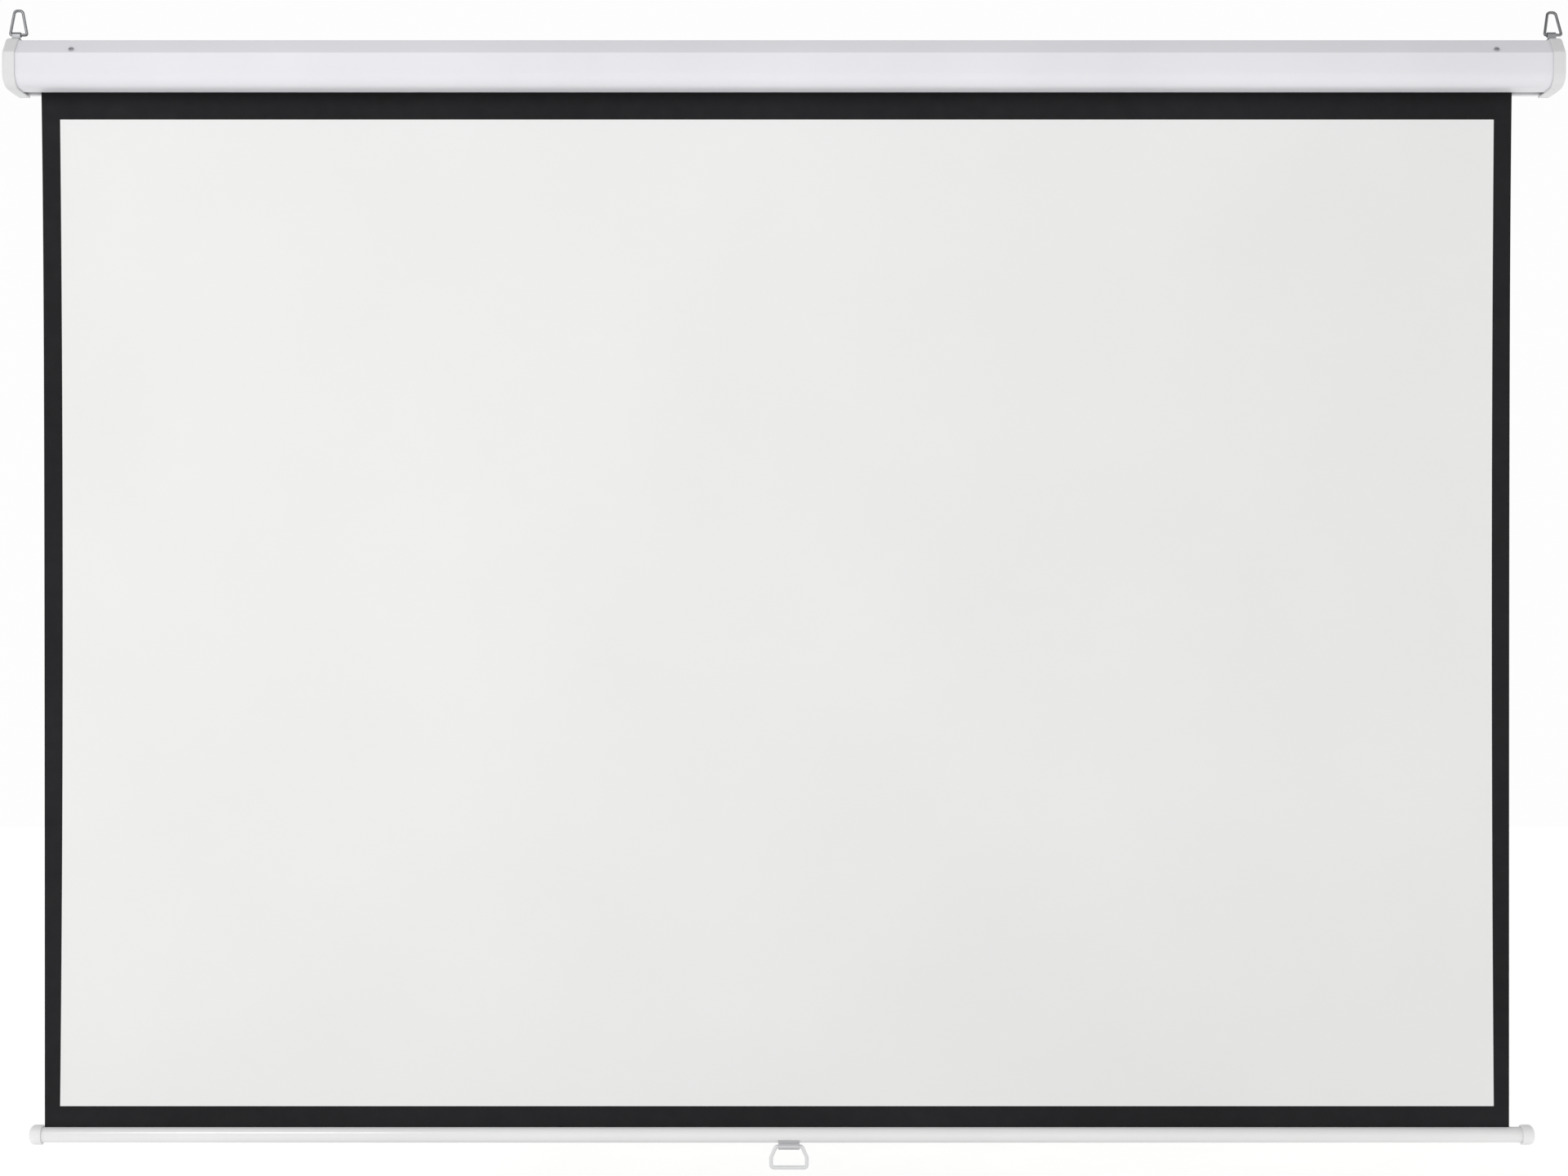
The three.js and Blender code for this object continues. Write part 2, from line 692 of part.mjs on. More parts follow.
function rollerHead() {
  const bore = headBush + fitGap;
  const body = turnX([
    [headFace - plugSpigotLength, bore],
    [headFace - plugSpigotLength, spigotRadius],
    [headFace, spigotRadius],
    [headFace, headFlangeRadius],
    [headFace + plugFlangeThickness, headFlangeRadius],
    [headFace + plugFlangeThickness, bore],
    [headFace - plugSpigotLength, bore],
  ]);
  const pins = Array.from({ length: pawlCount }, (_, i) => {
    const angle = (2 * Math.PI * i) / pawlCount;
    return rodX(headFace, ratchetFar, pawlPinRadius, smallRoundSides)
      .translate(0, -pawlPivotRadius * Math.sin(angle), pawlPivotRadius * Math.cos(angle));
  });
  return join(body, ...pins);
}
place(roller, 'roller_head', rollerHead(), greyPlastic);
const spindleBush = tubeX(
  headFace - plugSpigotLength, headFace + plugFlangeThickness, headBush, axleRadius + fitGap);
place(roller, 'spindle_bush', spindleBush, nylon);

// Angles on the lock are counted from the top, toward the front, which is how the roller winds in
function polar(radius, angle) {
  return new THREE.Vector2(-radius * Math.sin(angle), radius * Math.cos(angle));
}

// The pawl's end is an arc about its pin, so that it swings past the stop face at a constant gap
const notchFloor = ratchetRadius - notchDepth;
const pawlTip = polar(notchFloor + fitGap, pawlTipAngle).sub(polar(pawlPivotRadius, 0));
const pawlReach = pawlTip.length();

// The angle on the wheel at which a circle about the pawl's pin crosses the given radius
function crossing(radius, circle) {
  const cosine = (radius ** 2 + pawlPivotRadius ** 2 - circle ** 2) / (2 * radius * pawlPivotRadius);
  return Math.acos(cosine);
}

// Ratchet wheel: each notch has a ramp down from the rim and a stop face concentric with the pawl's pin
function ratchetOutline() {
  const pitch = (2 * Math.PI) / ratchetNotches;
  const stopCircle = pawlReach + fitGap;
  const floorAngle = crossing(notchFloor, stopCircle);
  const rimAngle = crossing(ratchetRadius, stopCircle);
  return Array.from({ length: ratchetNotches }, (_, n) => {
    const ramp = Array.from({ length: notchSteps }, (__, i) => {
      const share = i / notchSteps;
      return polar(ratchetRadius - notchDepth * share, floorAngle + n * pitch - notchRamp * (1 - share));
    });
    const stop = Array.from({ length: stopFaceSteps + 1 }, (__, i) => {
      const radius = notchFloor + (notchDepth * i) / stopFaceSteps;
      return polar(radius, crossing(radius, stopCircle) + n * pitch);
    });
    const rimTurn = floorAngle + pitch - notchRamp - rimAngle;
    const rim = Array.from({ length: notchSteps }, (__, i) =>
      polar(ratchetRadius, rimAngle + n * pitch + (rimTurn * (i + 1)) / (notchSteps + 1)));
    return [...ramp, ...stop, ...rim];
  }).flat();
}
const ratchetBore = [arcPoints(new THREE.Vector2(), axleRadius + fitGap, 0, -2 * Math.PI, roundSides)
  .slice(0, -1)];
const ratchetGroup = new THREE.Group();
ratchetGroup.position.set(0, rollerY, rollerZ);
screen.add(ratchetGroup);
place(ratchetGroup, 'ratchet_wheel', extrudeX(ratchetOutline(), ratchetThickness, ratchetBore),
  darkSteel, ratchetFace);

// Pawl, drawn engaged about its pin: an eye, and an arm whose round end meets the notch's stop face
function pawl() {
  const pin = new THREE.Vector2();
  const armTurn = Math.atan2(pawlTip.y, pawlTip.x);
  const eye = arcPoints(pin, pawlEyeRadius, armTurn + Math.PI / 2, armTurn + Math.PI * 3 / 2,
    roundSides / 2);
  const end = arcPoints(pin, pawlReach, armTurn - pawlTipHeight / pawlReach, armTurn, stopFaceSteps);
  const outline = [...eye, ...end];
  const hole = arcPoints(new THREE.Vector2(), pawlPinRadius + fitGap, 0, -2 * Math.PI, smallRoundSides)
    .slice(0, -1);
  return extrudeX(outline, pawlThickness, [hole]);
}
for (const [index, name] of [[0, 'upper_pawl'], [1, 'lower_pawl']]) {
  const station = new THREE.Group();
  station.rotation.x = (2 * Math.PI * index) / pawlCount;
  roller.add(station);
  const piece = place(station, name, pawl(), darkSteel, pawlFace, 0, pawlPivotRadius);
  piece.rotation.x = -pawlLift;
}

// Spring motor

// Spindle: a rod that stands still, flattened to a tang in the right bracket
const anchorFace = headFace - plugSpigotLength - anchorFromHead;
const anchorNoseEnd = anchorFace - anchorFlangeLength - anchorNoseLength;
const springRight = anchorFace - anchorFlangeLength - springWireRadius - fitGap;
const springLeft = springRight - springLength;
const drivePlugFace = springLeft - springWireRadius - fitGap;
const drivePlugEnd = drivePlugFace - drivePlugLength;
const tangStart = ratchetFar + tangShoulder;
const spindleRod = rodX(drivePlugFace - spindleEndInPlug, tangStart, axleRadius);
const tang = boxX(tangStart - tangShoulder, caseEnd, -tangThickness / 2, tangThickness / 2,
  -tangHeight / 2, tangHeight / 2);
place(screen, 'spring_spindle', join(spindleRod, tang), zincSteel, 0, rollerY, rollerZ);

const noseRadius = springInnerRadius - fitGap;
const anchorHub = turnX([
  [anchorNoseEnd, axleRadius + fitGap],
  [anchorNoseEnd, noseRadius],
  [anchorFace - anchorFlangeLength, noseRadius],
  [anchorFace - anchorFlangeLength, anchorFlangeRadius],
  [anchorFace, anchorFlangeRadius],
  [anchorFace, axleRadius + fitGap],
  [anchorNoseEnd, axleRadius + fitGap],
]);
place(screen, 'spring_anchor_hub', anchorHub, greyPlastic, 0, rollerY, rollerZ);

const drivePlug = turnX([
  [drivePlugEnd, axleRadius + fitGap],
  [drivePlugEnd, spigotRadius],
  [drivePlugFace, spigotRadius],
  [drivePlugFace, noseRadius],
  [drivePlugFace + springSeat, noseRadius],
  [drivePlugFace + springSeat, axleRadius + fitGap],
  [drivePlugEnd, axleRadius + fitGap],
]);
place(roller, 'drive_plug', drivePlug, greyPlastic);

// Torsion spring: a helix whose end turns sit on the hub and on the drive plug
function torsionSpring() {
  const steps = springTurns * springStepsPerTurn;
  const positions = [];
  const triangles = [];
  const rise = springLength / (2 * Math.PI * springTurns);
  const slope = Math.atan2(rise, springMeanRadius);
  for (let i = 0; i <= steps; i += 1) {
    const angle = (2 * Math.PI * i) / springStepsPerTurn;
    const along = springLeft + (springLength * i) / steps;
    for (let k = 0; k < springWireSides; k += 1) {
      const round = (2 * Math.PI * k) / springWireSides;
      const radial = springMeanRadius + springWireRadius * Math.cos(round);
      const axial = springWireRadius * Math.sin(round);
      const y = radial * Math.cos(angle) + axial * Math.sin(slope) * Math.sin(angle);
      const z = radial * Math.sin(angle) - axial * Math.sin(slope) * Math.cos(angle);
      positions.push(along + axial * Math.cos(slope), y, z);
    }
  }
  for (let i = 0; i < steps; i += 1) {
    for (let k = 0; k < springWireSides; k += 1) {
      const a = i * springWireSides + k;
      const b = i * springWireSides + ((k + 1) % springWireSides);
      triangles.push(a, a + springWireSides, b, b, a + springWireSides, b + springWireSides);
    }
  }
  const last = steps * springWireSides;
  for (let k = 1; k + 1 < springWireSides; k += 1) {
    triangles.push(0, k, k + 1, last, last + k + 1, last + k);
  }
  const geometry = new THREE.BufferGeometry();
  geometry.setAttribute('position', new THREE.Float32BufferAttribute(positions, 3));
  geometry.setIndex(triangles);
  return geometry;
}
place(screen, 'torsion_spring', torsionSpring(), springSteel, 0, rollerY, rollerZ);

// Screen sheet, from the rear of the roller down to the lower black border
const sheetHeight = rollerZ - sheetBottomZ - fitGap;
const sheet = extrudeX(
  boxPoints(-sheetThickness / 2, 0, sheetThickness / 2, sheetHeight), sheetWidth);
place(screen, 'screen_fabric', sheet, mattWhiteCloth, sheetLeft, sheetY, sheetBottomZ + fitGap);

// Weight bar and all that rises with it
const bar = new THREE.Group();
bar.position.set(barCentre, sheetY, barZ);
screen.add(bar);

// Lower border: the sheet's end, looped round the rod that the slotted bar grips
const hemLoopInner = hemRodRadius + fitGap;
const hemLoopOuter = hemLoopInner + sheetThickness;
const slotEdge = Math.sqrt(barInnerRadius ** 2 - (barSlot / 2) ** 2);
const hemRodZ = slotEdge - Math.sqrt((hemLoopOuter + fitGap) ** 2 - (barSlot / 2) ** 2);

function fabricHem() {
  const border = boxX(0, sheetWidth, -sheetThickness / 2, sheetThickness / 2,
    hemRodZ + hemLoopInner, barRadius + bottomBorder);
  const loop = rodX(0, sheetWidth, hemLoopOuter, smallRoundSides).translate(0, 0, hemRodZ);
  const bore = rodX(-cutOverrun, sheetWidth + cutOverrun, hemLoopInner, smallRoundSides)
    .translate(0, 0, hemRodZ);
  return cut(join(border, loop), bore);
}
const barShift = sheetCentre - barCentre;
place(bar, 'fabric_hem', fabricHem(), blackCloth, barShift - sheetWidth / 2);

const rodHalf = sheetWidth / 2 - hemRodInset;
const hemRod = rodX(barShift - rodHalf, barShift + rodHalf, hemRodRadius, smallRoundSides);
place(bar, 'hem_rod', hemRod, zincSteel, 0, 0, hemRodZ);

const tubeHalf = barHalfLength - barCapEndWall - fitGap;
function weightBar() {
  const pipe = tubeX(-tubeHalf, tubeHalf, barRadius, barInnerRadius);
  const slot = boxX(-barHalfLength, barHalfLength, -barSlot / 2, barSlot / 2, 0, barRadius + cutOverrun);
  const holes = [-1, 1].map((side) => rivetPlace(
    rodX(-rivetLength, rivetLength, rivetRadius + fitGap, smallRoundSides), side));
  return cut(pipe, slot, ...holes);
}

// Turns a form built along X so that +X points out of the bar, low on its rear side
function rivetPlace(geometry, side) {
  const out = new THREE.Vector3(0, Math.sin(rivetAngle), -Math.cos(rivetAngle));
  const across = new THREE.Vector3(1, 0, 0);
  const turned = new THREE.Matrix4().makeBasis(out, across, new THREE.Vector3().crossVectors(out, across));
  const foot = out.clone().multiplyScalar(barRadius).add(
    new THREE.Vector3(handleFromBarCentre + (side * rivetSpacing) / 2, 0, 0));
  return geometry.applyMatrix4(turned.setPosition(foot));
}
place(bar, 'weight_bar', weightBar(), whiteEnamel);

// Bar cap for the right, rim at zero: a domed cup over the tube with a short stem inside it
function barCap() {
  const profile = [[0, barRadius + fitGap], [0, barCapRadius]];
  const domeStart = barCapLength - barCapDome;
  for (let i = 0; i <= barCapDomeSteps; i += 1) {
    const angle = (Math.PI / 2) * (i / barCapDomeSteps);
    profile.push([domeStart + barCapDome * Math.sin(angle), barCapRadius * Math.cos(angle)]);
  }
  profile[profile.length - 1][1] = 0;
  const floor = barCapLength - barCapEndWall;
  const stemRadius = barInnerRadius - fitGap;
  profile.push([floor - barCapStemLength, 0], [floor - barCapStemLength, stemRadius], [floor, stemRadius],
    [floor, barRadius + fitGap], [0, barRadius + fitGap]);
  return turnX(profile);
}
const barCapRim = barHalfLength - barCapLength;
place(bar, 'right_bar_cap', barCap(), whitePlastic, barCapRim);
place(bar, 'left_bar_cap', mirrorX(barCap()), whitePlastic, -barCapRim);

// Saddle: a curved plate under the bar with an eye for the handle
const saddleInner = barRadius + fitGap;
const saddleOuter = saddleInner + saddleThickness;
const handleEyeInner = handleRadius + fitGap;
const handleEyeOuter = handleEyeInner + saddleThickness;
const handleAxisDrop = saddleOuter + handleEyeOuter - saddleEyeSink;

function saddle() {
  const half = saddleWidth / 2;
  const low = -Math.PI / 2;
  const centre = new THREE.Vector2();
  const outline = [
    ...arcPoints(centre, saddleOuter, low - saddleHalfAngle, low + saddleHalfAngle, saddleSteps),
    ...arcPoints(centre, saddleInner, low + saddleHalfAngle, low - saddleHalfAngle, saddleSteps),
  ];
  const plate = extrudeX(outline, saddleWidth).translate(-half, 0, 0);
  const eye = rodX(-half, half, handleEyeOuter).translate(0, 0, -handleAxisDrop);
  const bore = rodX(-saddleWidth, saddleWidth, handleEyeInner).translate(0, 0, -handleAxisDrop);
  const drills = [-1, 1].map((side) => rivetPlace(
    rodX(-rivetLength, rivetLength, rivetRadius + fitGap, smallRoundSides), side)
    .translate(-handleFromBarCentre, 0, 0));
  return cut(join(plate, eye), bore, ...drills);
}
place(bar, 'handle_saddle', saddle(), darkSteel, handleFromBarCentre);

for (const [side, name] of [[-1, 'left_saddle_rivet'], [1, 'right_saddle_rivet']]) {
  const headSeat = saddleOuter + fitGap - barRadius;
  const rivet = turnX([
    [headSeat - rivetLength, 0],
    [headSeat - rivetLength, rivetRadius],
    [headSeat, rivetRadius],
    [headSeat, rivetHeadRadius],
    [headSeat + rivetHeadHeight / 2, rivetHeadRadius],
    [headSeat + rivetHeadHeight, rivetHeadRadius / 2],
    [headSeat + rivetHeadHeight, 0],
  ], smallRoundSides);
  place(bar, name, rivetPlace(rivet, side), darkSteel);
}

// Handle loop, hanging from its top bar
function handlePath() {
  const corner = (x, z) => new THREE.Vector2(x, z);
  const topHalf = handleTopWidth / 2;
  const lowHalf = handleBottomWidth / 2;
  const corners = [
    corner(-lowHalf, -handleDrop), corner(lowHalf, -handleDrop), corner(lowHalf, -handleShoulderDrop),
    corner(topHalf, 0), corner(-topHalf, 0), corner(-lowHalf, -handleShoulderDrop),
  ];
  return roundedLoop(corners, corners.map(() => handleCornerRadius));
}
place(bar, 'pull_handle', wireLoop(handlePath(), handleRadius, handleSides), handlePlastic,
  handleFromBarCentre, 0, -handleAxisDrop);

export default screen;
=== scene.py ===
# %% [markdown]
# # A pull-down projection screen
#
# The object is a long white steel case with a spring roller inside. A white sheet with a black
# border hangs from the roller, and a round weight bar with a pull handle keeps it straight.
#
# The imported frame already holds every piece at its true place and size, with its joints. This
# lesson gives the frame its looks: finer surfaces where the light shows an edge or a curve, and
# a finish for every piece. All new surfaces are worked out as numpy arrays, in millimetres, and
# are turned into metres when they go into a mesh.

# %% Load the frame
import math

import bmesh
import bpy
import numpy as np
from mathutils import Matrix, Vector


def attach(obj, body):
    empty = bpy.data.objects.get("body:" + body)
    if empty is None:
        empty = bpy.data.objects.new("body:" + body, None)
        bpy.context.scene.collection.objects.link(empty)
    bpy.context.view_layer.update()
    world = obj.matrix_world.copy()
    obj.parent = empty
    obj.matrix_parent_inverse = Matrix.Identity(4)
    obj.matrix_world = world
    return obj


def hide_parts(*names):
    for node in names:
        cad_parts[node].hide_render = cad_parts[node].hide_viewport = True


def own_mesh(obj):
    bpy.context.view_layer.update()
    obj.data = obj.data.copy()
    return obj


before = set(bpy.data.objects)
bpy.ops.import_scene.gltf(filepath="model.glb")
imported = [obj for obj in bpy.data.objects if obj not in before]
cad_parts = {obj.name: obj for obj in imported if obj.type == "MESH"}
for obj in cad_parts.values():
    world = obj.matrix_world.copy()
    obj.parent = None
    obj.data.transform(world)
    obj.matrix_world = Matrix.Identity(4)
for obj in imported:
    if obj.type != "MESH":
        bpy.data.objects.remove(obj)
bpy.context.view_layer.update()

MM = 0.001


# %% [markdown]
# ## Camera
#
# The screen is seen straight on, from the height of its middle. The case shows a strip of its
# underside and its end caps lean inwards toward the back, which fixes the distance: 3.3 metres
# from the sheet. The frame is 2221 mm wide at the sheet, and the lens follows from the two.
# A level camera keeps the sides of the sheet upright, as they are here.

# %% Camera
SHEET_Y = -16.5
CAMERA_DISTANCE = 3300
CAMERA_HEIGHT = -733.7
FRAME_WIDTH = 2221
SENSOR_WIDTH = 36

camera_data = bpy.data.cameras.new("camera")
camera_data.sensor_width = SENSOR_WIDTH
camera_data.lens = SENSOR_WIDTH * CAMERA_DISTANCE / FRAME_WIDTH
camera = bpy.data.objects.new("camera", camera_data)
camera.location = (0, (SHEET_Y - CAMERA_DISTANCE) * MM, CAMERA_HEIGHT * MM)
camera.rotation_euler = (math.pi / 2, 0, 0)
bpy.context.scene.collection.objects.link(camera)
bpy.context.scene.camera = camera
print("lens in mm:", round(camera_data.lens, 2))

# %% [markdown]
# ## Light
#
# The screen hangs in a white studio: a bright wall all round and a darker ceiling. The sky here
# is one function of height: full brightness at the horizon, falling away overhead, which is what
# leaves the slanted strip on top of the case a little darker than its front. One soft lamp, high
# on the left and narrow in its beam, points down at the weight bar. It makes the left side the
# brighter one, and it gives the bar light from above, without which a white bar looks flat.


# %% Tools for shaders
def node_adder(tree):
    """A function that adds a node of some kind to the tree, with given inputs and settings."""
    def add(kind, values=(), **settings):
        made = tree.nodes.new(kind)
        for key, value in settings.items():
            setattr(made, key, value)
        for key, value in dict(values).items():
            made.inputs[key].default_value = value
        return made

    return add


def smooth_range(add, start, end, first, last):
    """A node that goes smoothly from first to last while its value goes from start to end."""
    limits = {"From Min": start, "From Max": end, "To Min": first, "To Max": last}
    return add("ShaderNodeMapRange", limits, interpolation_type="SMOOTHSTEP")


# %% Sky
SKY_STRENGTH = 0.985
ZENITH_LIGHT = 0.38
FADE_START, FADE_END = 0.25, 0.85

world = bpy.data.worlds.new("studio")
world.use_nodes = True
bpy.context.scene.world = world
bpy.context.scene.view_settings.view_transform = "Standard"
sky = world.node_tree
add_to_sky = node_adder(sky)
direction = add_to_sky("ShaderNodeTexCoord")
height = add_to_sky("ShaderNodeSeparateXYZ")
falloff = smooth_range(add_to_sky, FADE_START, FADE_END, 1.0, ZENITH_LIGHT)
sky.links.new(direction.outputs["Generated"], height.inputs[0])
sky.links.new(height.outputs["Z"], falloff.inputs["Value"])
sky.links.new(falloff.outputs["Result"], sky.nodes["Background"].inputs["Color"])
sky.nodes["Background"].inputs["Strength"].default_value = SKY_STRENGTH
print("sky at the horizon", SKY_STRENGTH, "and overhead", round(SKY_STRENGTH * ZENITH_LIGHT, 2))

# %% Lamp
LAMP_PLACE, LAMP_AIM = (-1.6, -2.9, 1.0), (-0.3, 0, -1.5)
LAMP_SIZE, LAMP_POWER, LAMP_BEAM = 0.9, 5.2, 80


def soft_lamp(name, place, aim, size, power):
    """A square lamp of the given size in metres that faces the point aim."""
    data = bpy.data.lights.new(name, "AREA")
    data.size = size
    data.energy = power
    lamp = bpy.data.objects.new(name, data)
    lamp.location = place
    lamp.rotation_euler = (Vector(aim) - Vector(place)).to_track_quat("-Z", "Y").to_euler()
    bpy.context.scene.collection.objects.link(lamp)
    return lamp


lamp = soft_lamp("left_front_lamp", LAMP_PLACE, LAMP_AIM, LAMP_SIZE, LAMP_POWER)
lamp.data.spread = math.radians(LAMP_BEAM)
print("lamp:", LAMP_POWER, "W in a beam of", LAMP_BEAM, "degrees")

# %% [markdown]
# ## Tools for surfaces
#
# Most pieces of a screen are made in two ways. A rolled channel, a tube or a bent strap is one
# outline carried along a line. A cap, a rivet or a screw is one profile turned about an axis.
# Both are a grid of points, with a row for each step along and a column for each step round, so
# one function can make the faces of them all.


# %% Faces of a grid
def grid_faces(rows, columns, close_rows=False, close_columns=False):
    """Four-sided faces from point (i, j) to its neighbours at i + 1 and j + 1. A closed way runs
    on from its last line of points to its first."""
    i = np.arange(rows if close_rows else rows - 1)
    j = np.arange(columns if close_columns else columns - 1)
    i, j = np.meshgrid(i, j, indexing="ij")
    next_i, next_j = (i + 1) % rows, (j + 1) % columns
    corners = (i * columns + j, i * columns + next_j,
               next_i * columns + next_j, next_i * columns + j)
    return np.stack(corners, axis=-1).reshape(-1, 4).tolist()


# %% Points and faces to a finished piece
MERGE_DISTANCE = 0.002
CREASE = 32
# Each end of the screen as the sign of its X and its name, seen from the front
SIDES = ((1, "right"), (-1, "left"))


def piece(name, points, faces, finish, crease=CREASE):
    """Puts points in millimetres into a mesh. Points that fall together are merged, which closes
    seams and poles, faces are turned outwards, and edges sharper than crease stay sharp."""
    mesh = bpy.data.meshes.new(name)
    mesh.from_pydata((np.asarray(points).reshape(-1, 3) * MM).tolist(), [], faces)
    work = bmesh.new()
    work.from_mesh(mesh)
    bmesh.ops.remove_doubles(work, verts=work.verts, dist=MERGE_DISTANCE * MM)
    bmesh.ops.recalc_face_normals(work, faces=work.faces)
    if work.calc_volume(signed=True) < 0:
        bmesh.ops.reverse_faces(work, faces=work.faces)
    work.to_mesh(mesh)
    work.free()
    mesh.shade_smooth()
    mesh.set_sharp_from_angle(angle=math.radians(crease))
    mesh.materials.append(finish)
    made = bpy.data.objects.new(name, mesh)
    bpy.context.scene.collection.objects.link(made)
    return made


def settle(made, body, slot, *nodes):
    """The piece moves with a body and stands for the given nodes. The slot is not used."""
    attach(made, body)
    if nodes:
        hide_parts(*nodes)
    print(f"{made.name}: {len(made.data.polygons)} faces, rides on {body}")


# %% Outlines
def unit(vectors):
    """Each vector over its own length."""
    return vectors / np.linalg.norm(vectors, axis=-1, keepdims=True)


def rounded(corners, radii, steps=8):
    """A closed outline with round corners. Each arc's centre lies on the bisector of its corner,
    at the radius over the sine of half the corner's angle, and its ends touch the two edges at
    the radius over the tangent of that half angle."""
    corners = np.asarray(corners, float)
    radii = np.asarray(radii, float)[:, None]
    back = unit(np.roll(corners, 1, axis=0) - corners)
    on = unit(np.roll(corners, -1, axis=0) - corners)
    half = np.arccos(np.clip((back * on).sum(1), -1, 1))[:, None] / 2
    centre = corners + unit(back + on) * radii / np.sin(half)
    start = corners + back * radii / np.tan(half) - centre
    end = corners + on * radii / np.tan(half) - centre
    first = np.arctan2(start[:, 1], start[:, 0])[:, None]
    turn = np.arctan2(end[:, 1], end[:, 0])[:, None] - first
    turn = (turn + math.pi) % (2 * math.pi) - math.pi
    angle = first + turn * np.linspace(0, 1, steps + 1)
    arcs = np.stack([np.cos(angle), np.sin(angle)], axis=-1) * radii[:, :, None]
    return (centre[:, None] + arcs).reshape(-1, 2)


def offset(path, distance, closed=True):
    """Each point moves along the mitre between its two edges, to the right of the way the path
    runs, by the distance over the cosine of half the turn there."""
    before, after = np.roll(path, 1, axis=0), np.roll(path, -1, axis=0)
    if not closed:
        before[0], after[-1] = 2 * path[0] - path[1], 2 * path[-1] - path[-2]
    first, second = unit(path - before), unit(after - path)
    first = np.stack([first[:, 1], -first[:, 0]], axis=1)
    second = np.stack([second[:, 1], -second[:, 0]], axis=1)
    return path + distance * (first + second) / (1 + (first * second).sum(1, keepdims=True))


def arc(centre, radius, start, end, steps=24):
    """Points at centre + radius times the cosine and sine, from start to end in degrees."""
    angle = np.radians(np.linspace(start, end, steps + 1))
    return np.asarray(centre) + radius * np.stack([np.cos(angle), np.sin(angle)], axis=1)


def strip(path, wall):
    """The outline of a sheet of constant thickness whose middle follows the open path."""
    sides = offset(path, wall / 2, False), offset(path, -wall / 2, False)[::-1]
    return np.concatenate(sides)


# %% Carried surfaces
def carried(name, sections, stations, finish, crease=CREASE):
    """One outline, or one for each station, drawn as (depth, height) and carried along X. Point
    (i, j) is (station i, section j), and a face closes each end."""
    stations = np.asarray(stations, float)
    rows, columns = len(stations), np.shape(sections)[-2]
    sections = np.broadcast_to(sections, (rows, columns, 2))
    along = np.broadcast_to(stations[:, None, None], (rows, columns, 1))
    points = np.concatenate([along, sections], axis=2)
    last = (rows - 1) * columns
    ends = [list(range(columns)), list(range(last, last + columns))]
    faces = grid_faces(rows, columns, close_columns=True) + ends
    return piece(name, points, faces, finish, crease)


# %% Turned surfaces and wires
def turned_points(profile, sides=96):
    """Rings about the X axis: point (i, j) is (x, radius times sine, radius times cosine)."""
    profile = np.asarray(profile, float)
    angle = np.linspace(0, 2 * math.pi, sides, endpoint=False)
    x = np.broadcast_to(profile[:, :1], (len(profile), sides))
    return np.stack([x, profile[:, 1:] * np.sin(angle), profile[:, 1:] * np.cos(angle)], axis=-1)


def wire_points(path, radius, sides=24):
    """A round wire along a closed path in the XZ plane: cosine times the radius goes along the
    path's mitre and sine times the radius goes along Y."""
    mitre = offset(path, 1.0) - path
    angle = np.linspace(0, 2 * math.pi, sides, endpoint=False)
    reach = radius * np.cos(angle)
    x = path[:, :1] + mitre[:, :1] * reach
    z = path[:, 1:] + mitre[:, 1:] * reach
    return np.stack([x, np.broadcast_to(radius * np.sin(angle), x.shape), z], axis=-1)


def turned(name, points, finish, crease=CREASE):
    """A piece from rings of points. A profile that starts and ends on the axis closes itself."""
    return piece(name, points, grid_faces(*points.shape[:2], close_columns=True), finish, crease)


def looped(name, points, finish):
    """A piece from a wire's points, closed both along and round."""
    return piece(name, points, grid_faces(*points.shape[:2], True, True), finish)


# %% Cuts and soft edges
PRESSED_EDGE = 0.25


def carve(made, *cutters):
    """Takes the cutters out of the piece, exactly, and removes them."""
    for cutter in cutters:
        change = made.modifiers.new("cut", "BOOLEAN")
        change.operation, change.solver, change.object = "DIFFERENCE", "EXACT", cutter
    finished = made.evaluated_get(bpy.context.evaluated_depsgraph_get())
    result = bpy.data.meshes.new_from_object(finished)
    made.modifiers.clear()
    made.data = result
    for cutter in cutters:
        bpy.data.objects.remove(cutter)
    result.shade_smooth()
    result.set_sharp_from_angle(angle=math.radians(CREASE))
    return made


def soften(made):
    """A narrow round along every sharp edge, as pressing leaves on sheet steel."""
    edge = made.modifiers.new("soften", "BEVEL")
    edge.width, edge.segments, edge.limit_method = PRESSED_EDGE * MM, 2, "ANGLE"
    edge.harden_normals = True


# %% [markdown]
# ## Finishes
#
# Nothing on a real screen has one even colour. Enamel has a faint orange peel and uneven gloss,
# moulded plastic has a fine grain, zinc plate is cloudy, and cloth has a weave. Each finish below
# starts from the same shader and adds noise at the scale of the real thing, on the piece's own
# coordinates in metres, so that it stays put when the piece moves. Every gloss range lies wholly
# below a roughness of 0.27 or wholly above it. A denoiser sorts surfaces into mirror-like and
# dull ones near that value, and a finish that crosses it comes out with faint blotches.


# %% Finish tools
NOISE_LOW, NOISE_HIGH = 0.3, 0.7


def shader_for(name, colour, roughness, metallic=0.0):
    """A material with its shader, and a function that adds a node with given settings."""
    material = bpy.data.materials.new(name)
    material.use_nodes = True
    tree = material.node_tree
    shader = tree.nodes["Principled BSDF"]
    shader.inputs["Base Color"].default_value = (*colour, 1)
    shader.inputs["Roughness"].default_value = roughness
    shader.inputs["Metallic"].default_value = metallic
    return material, tree, shader, node_adder(tree)


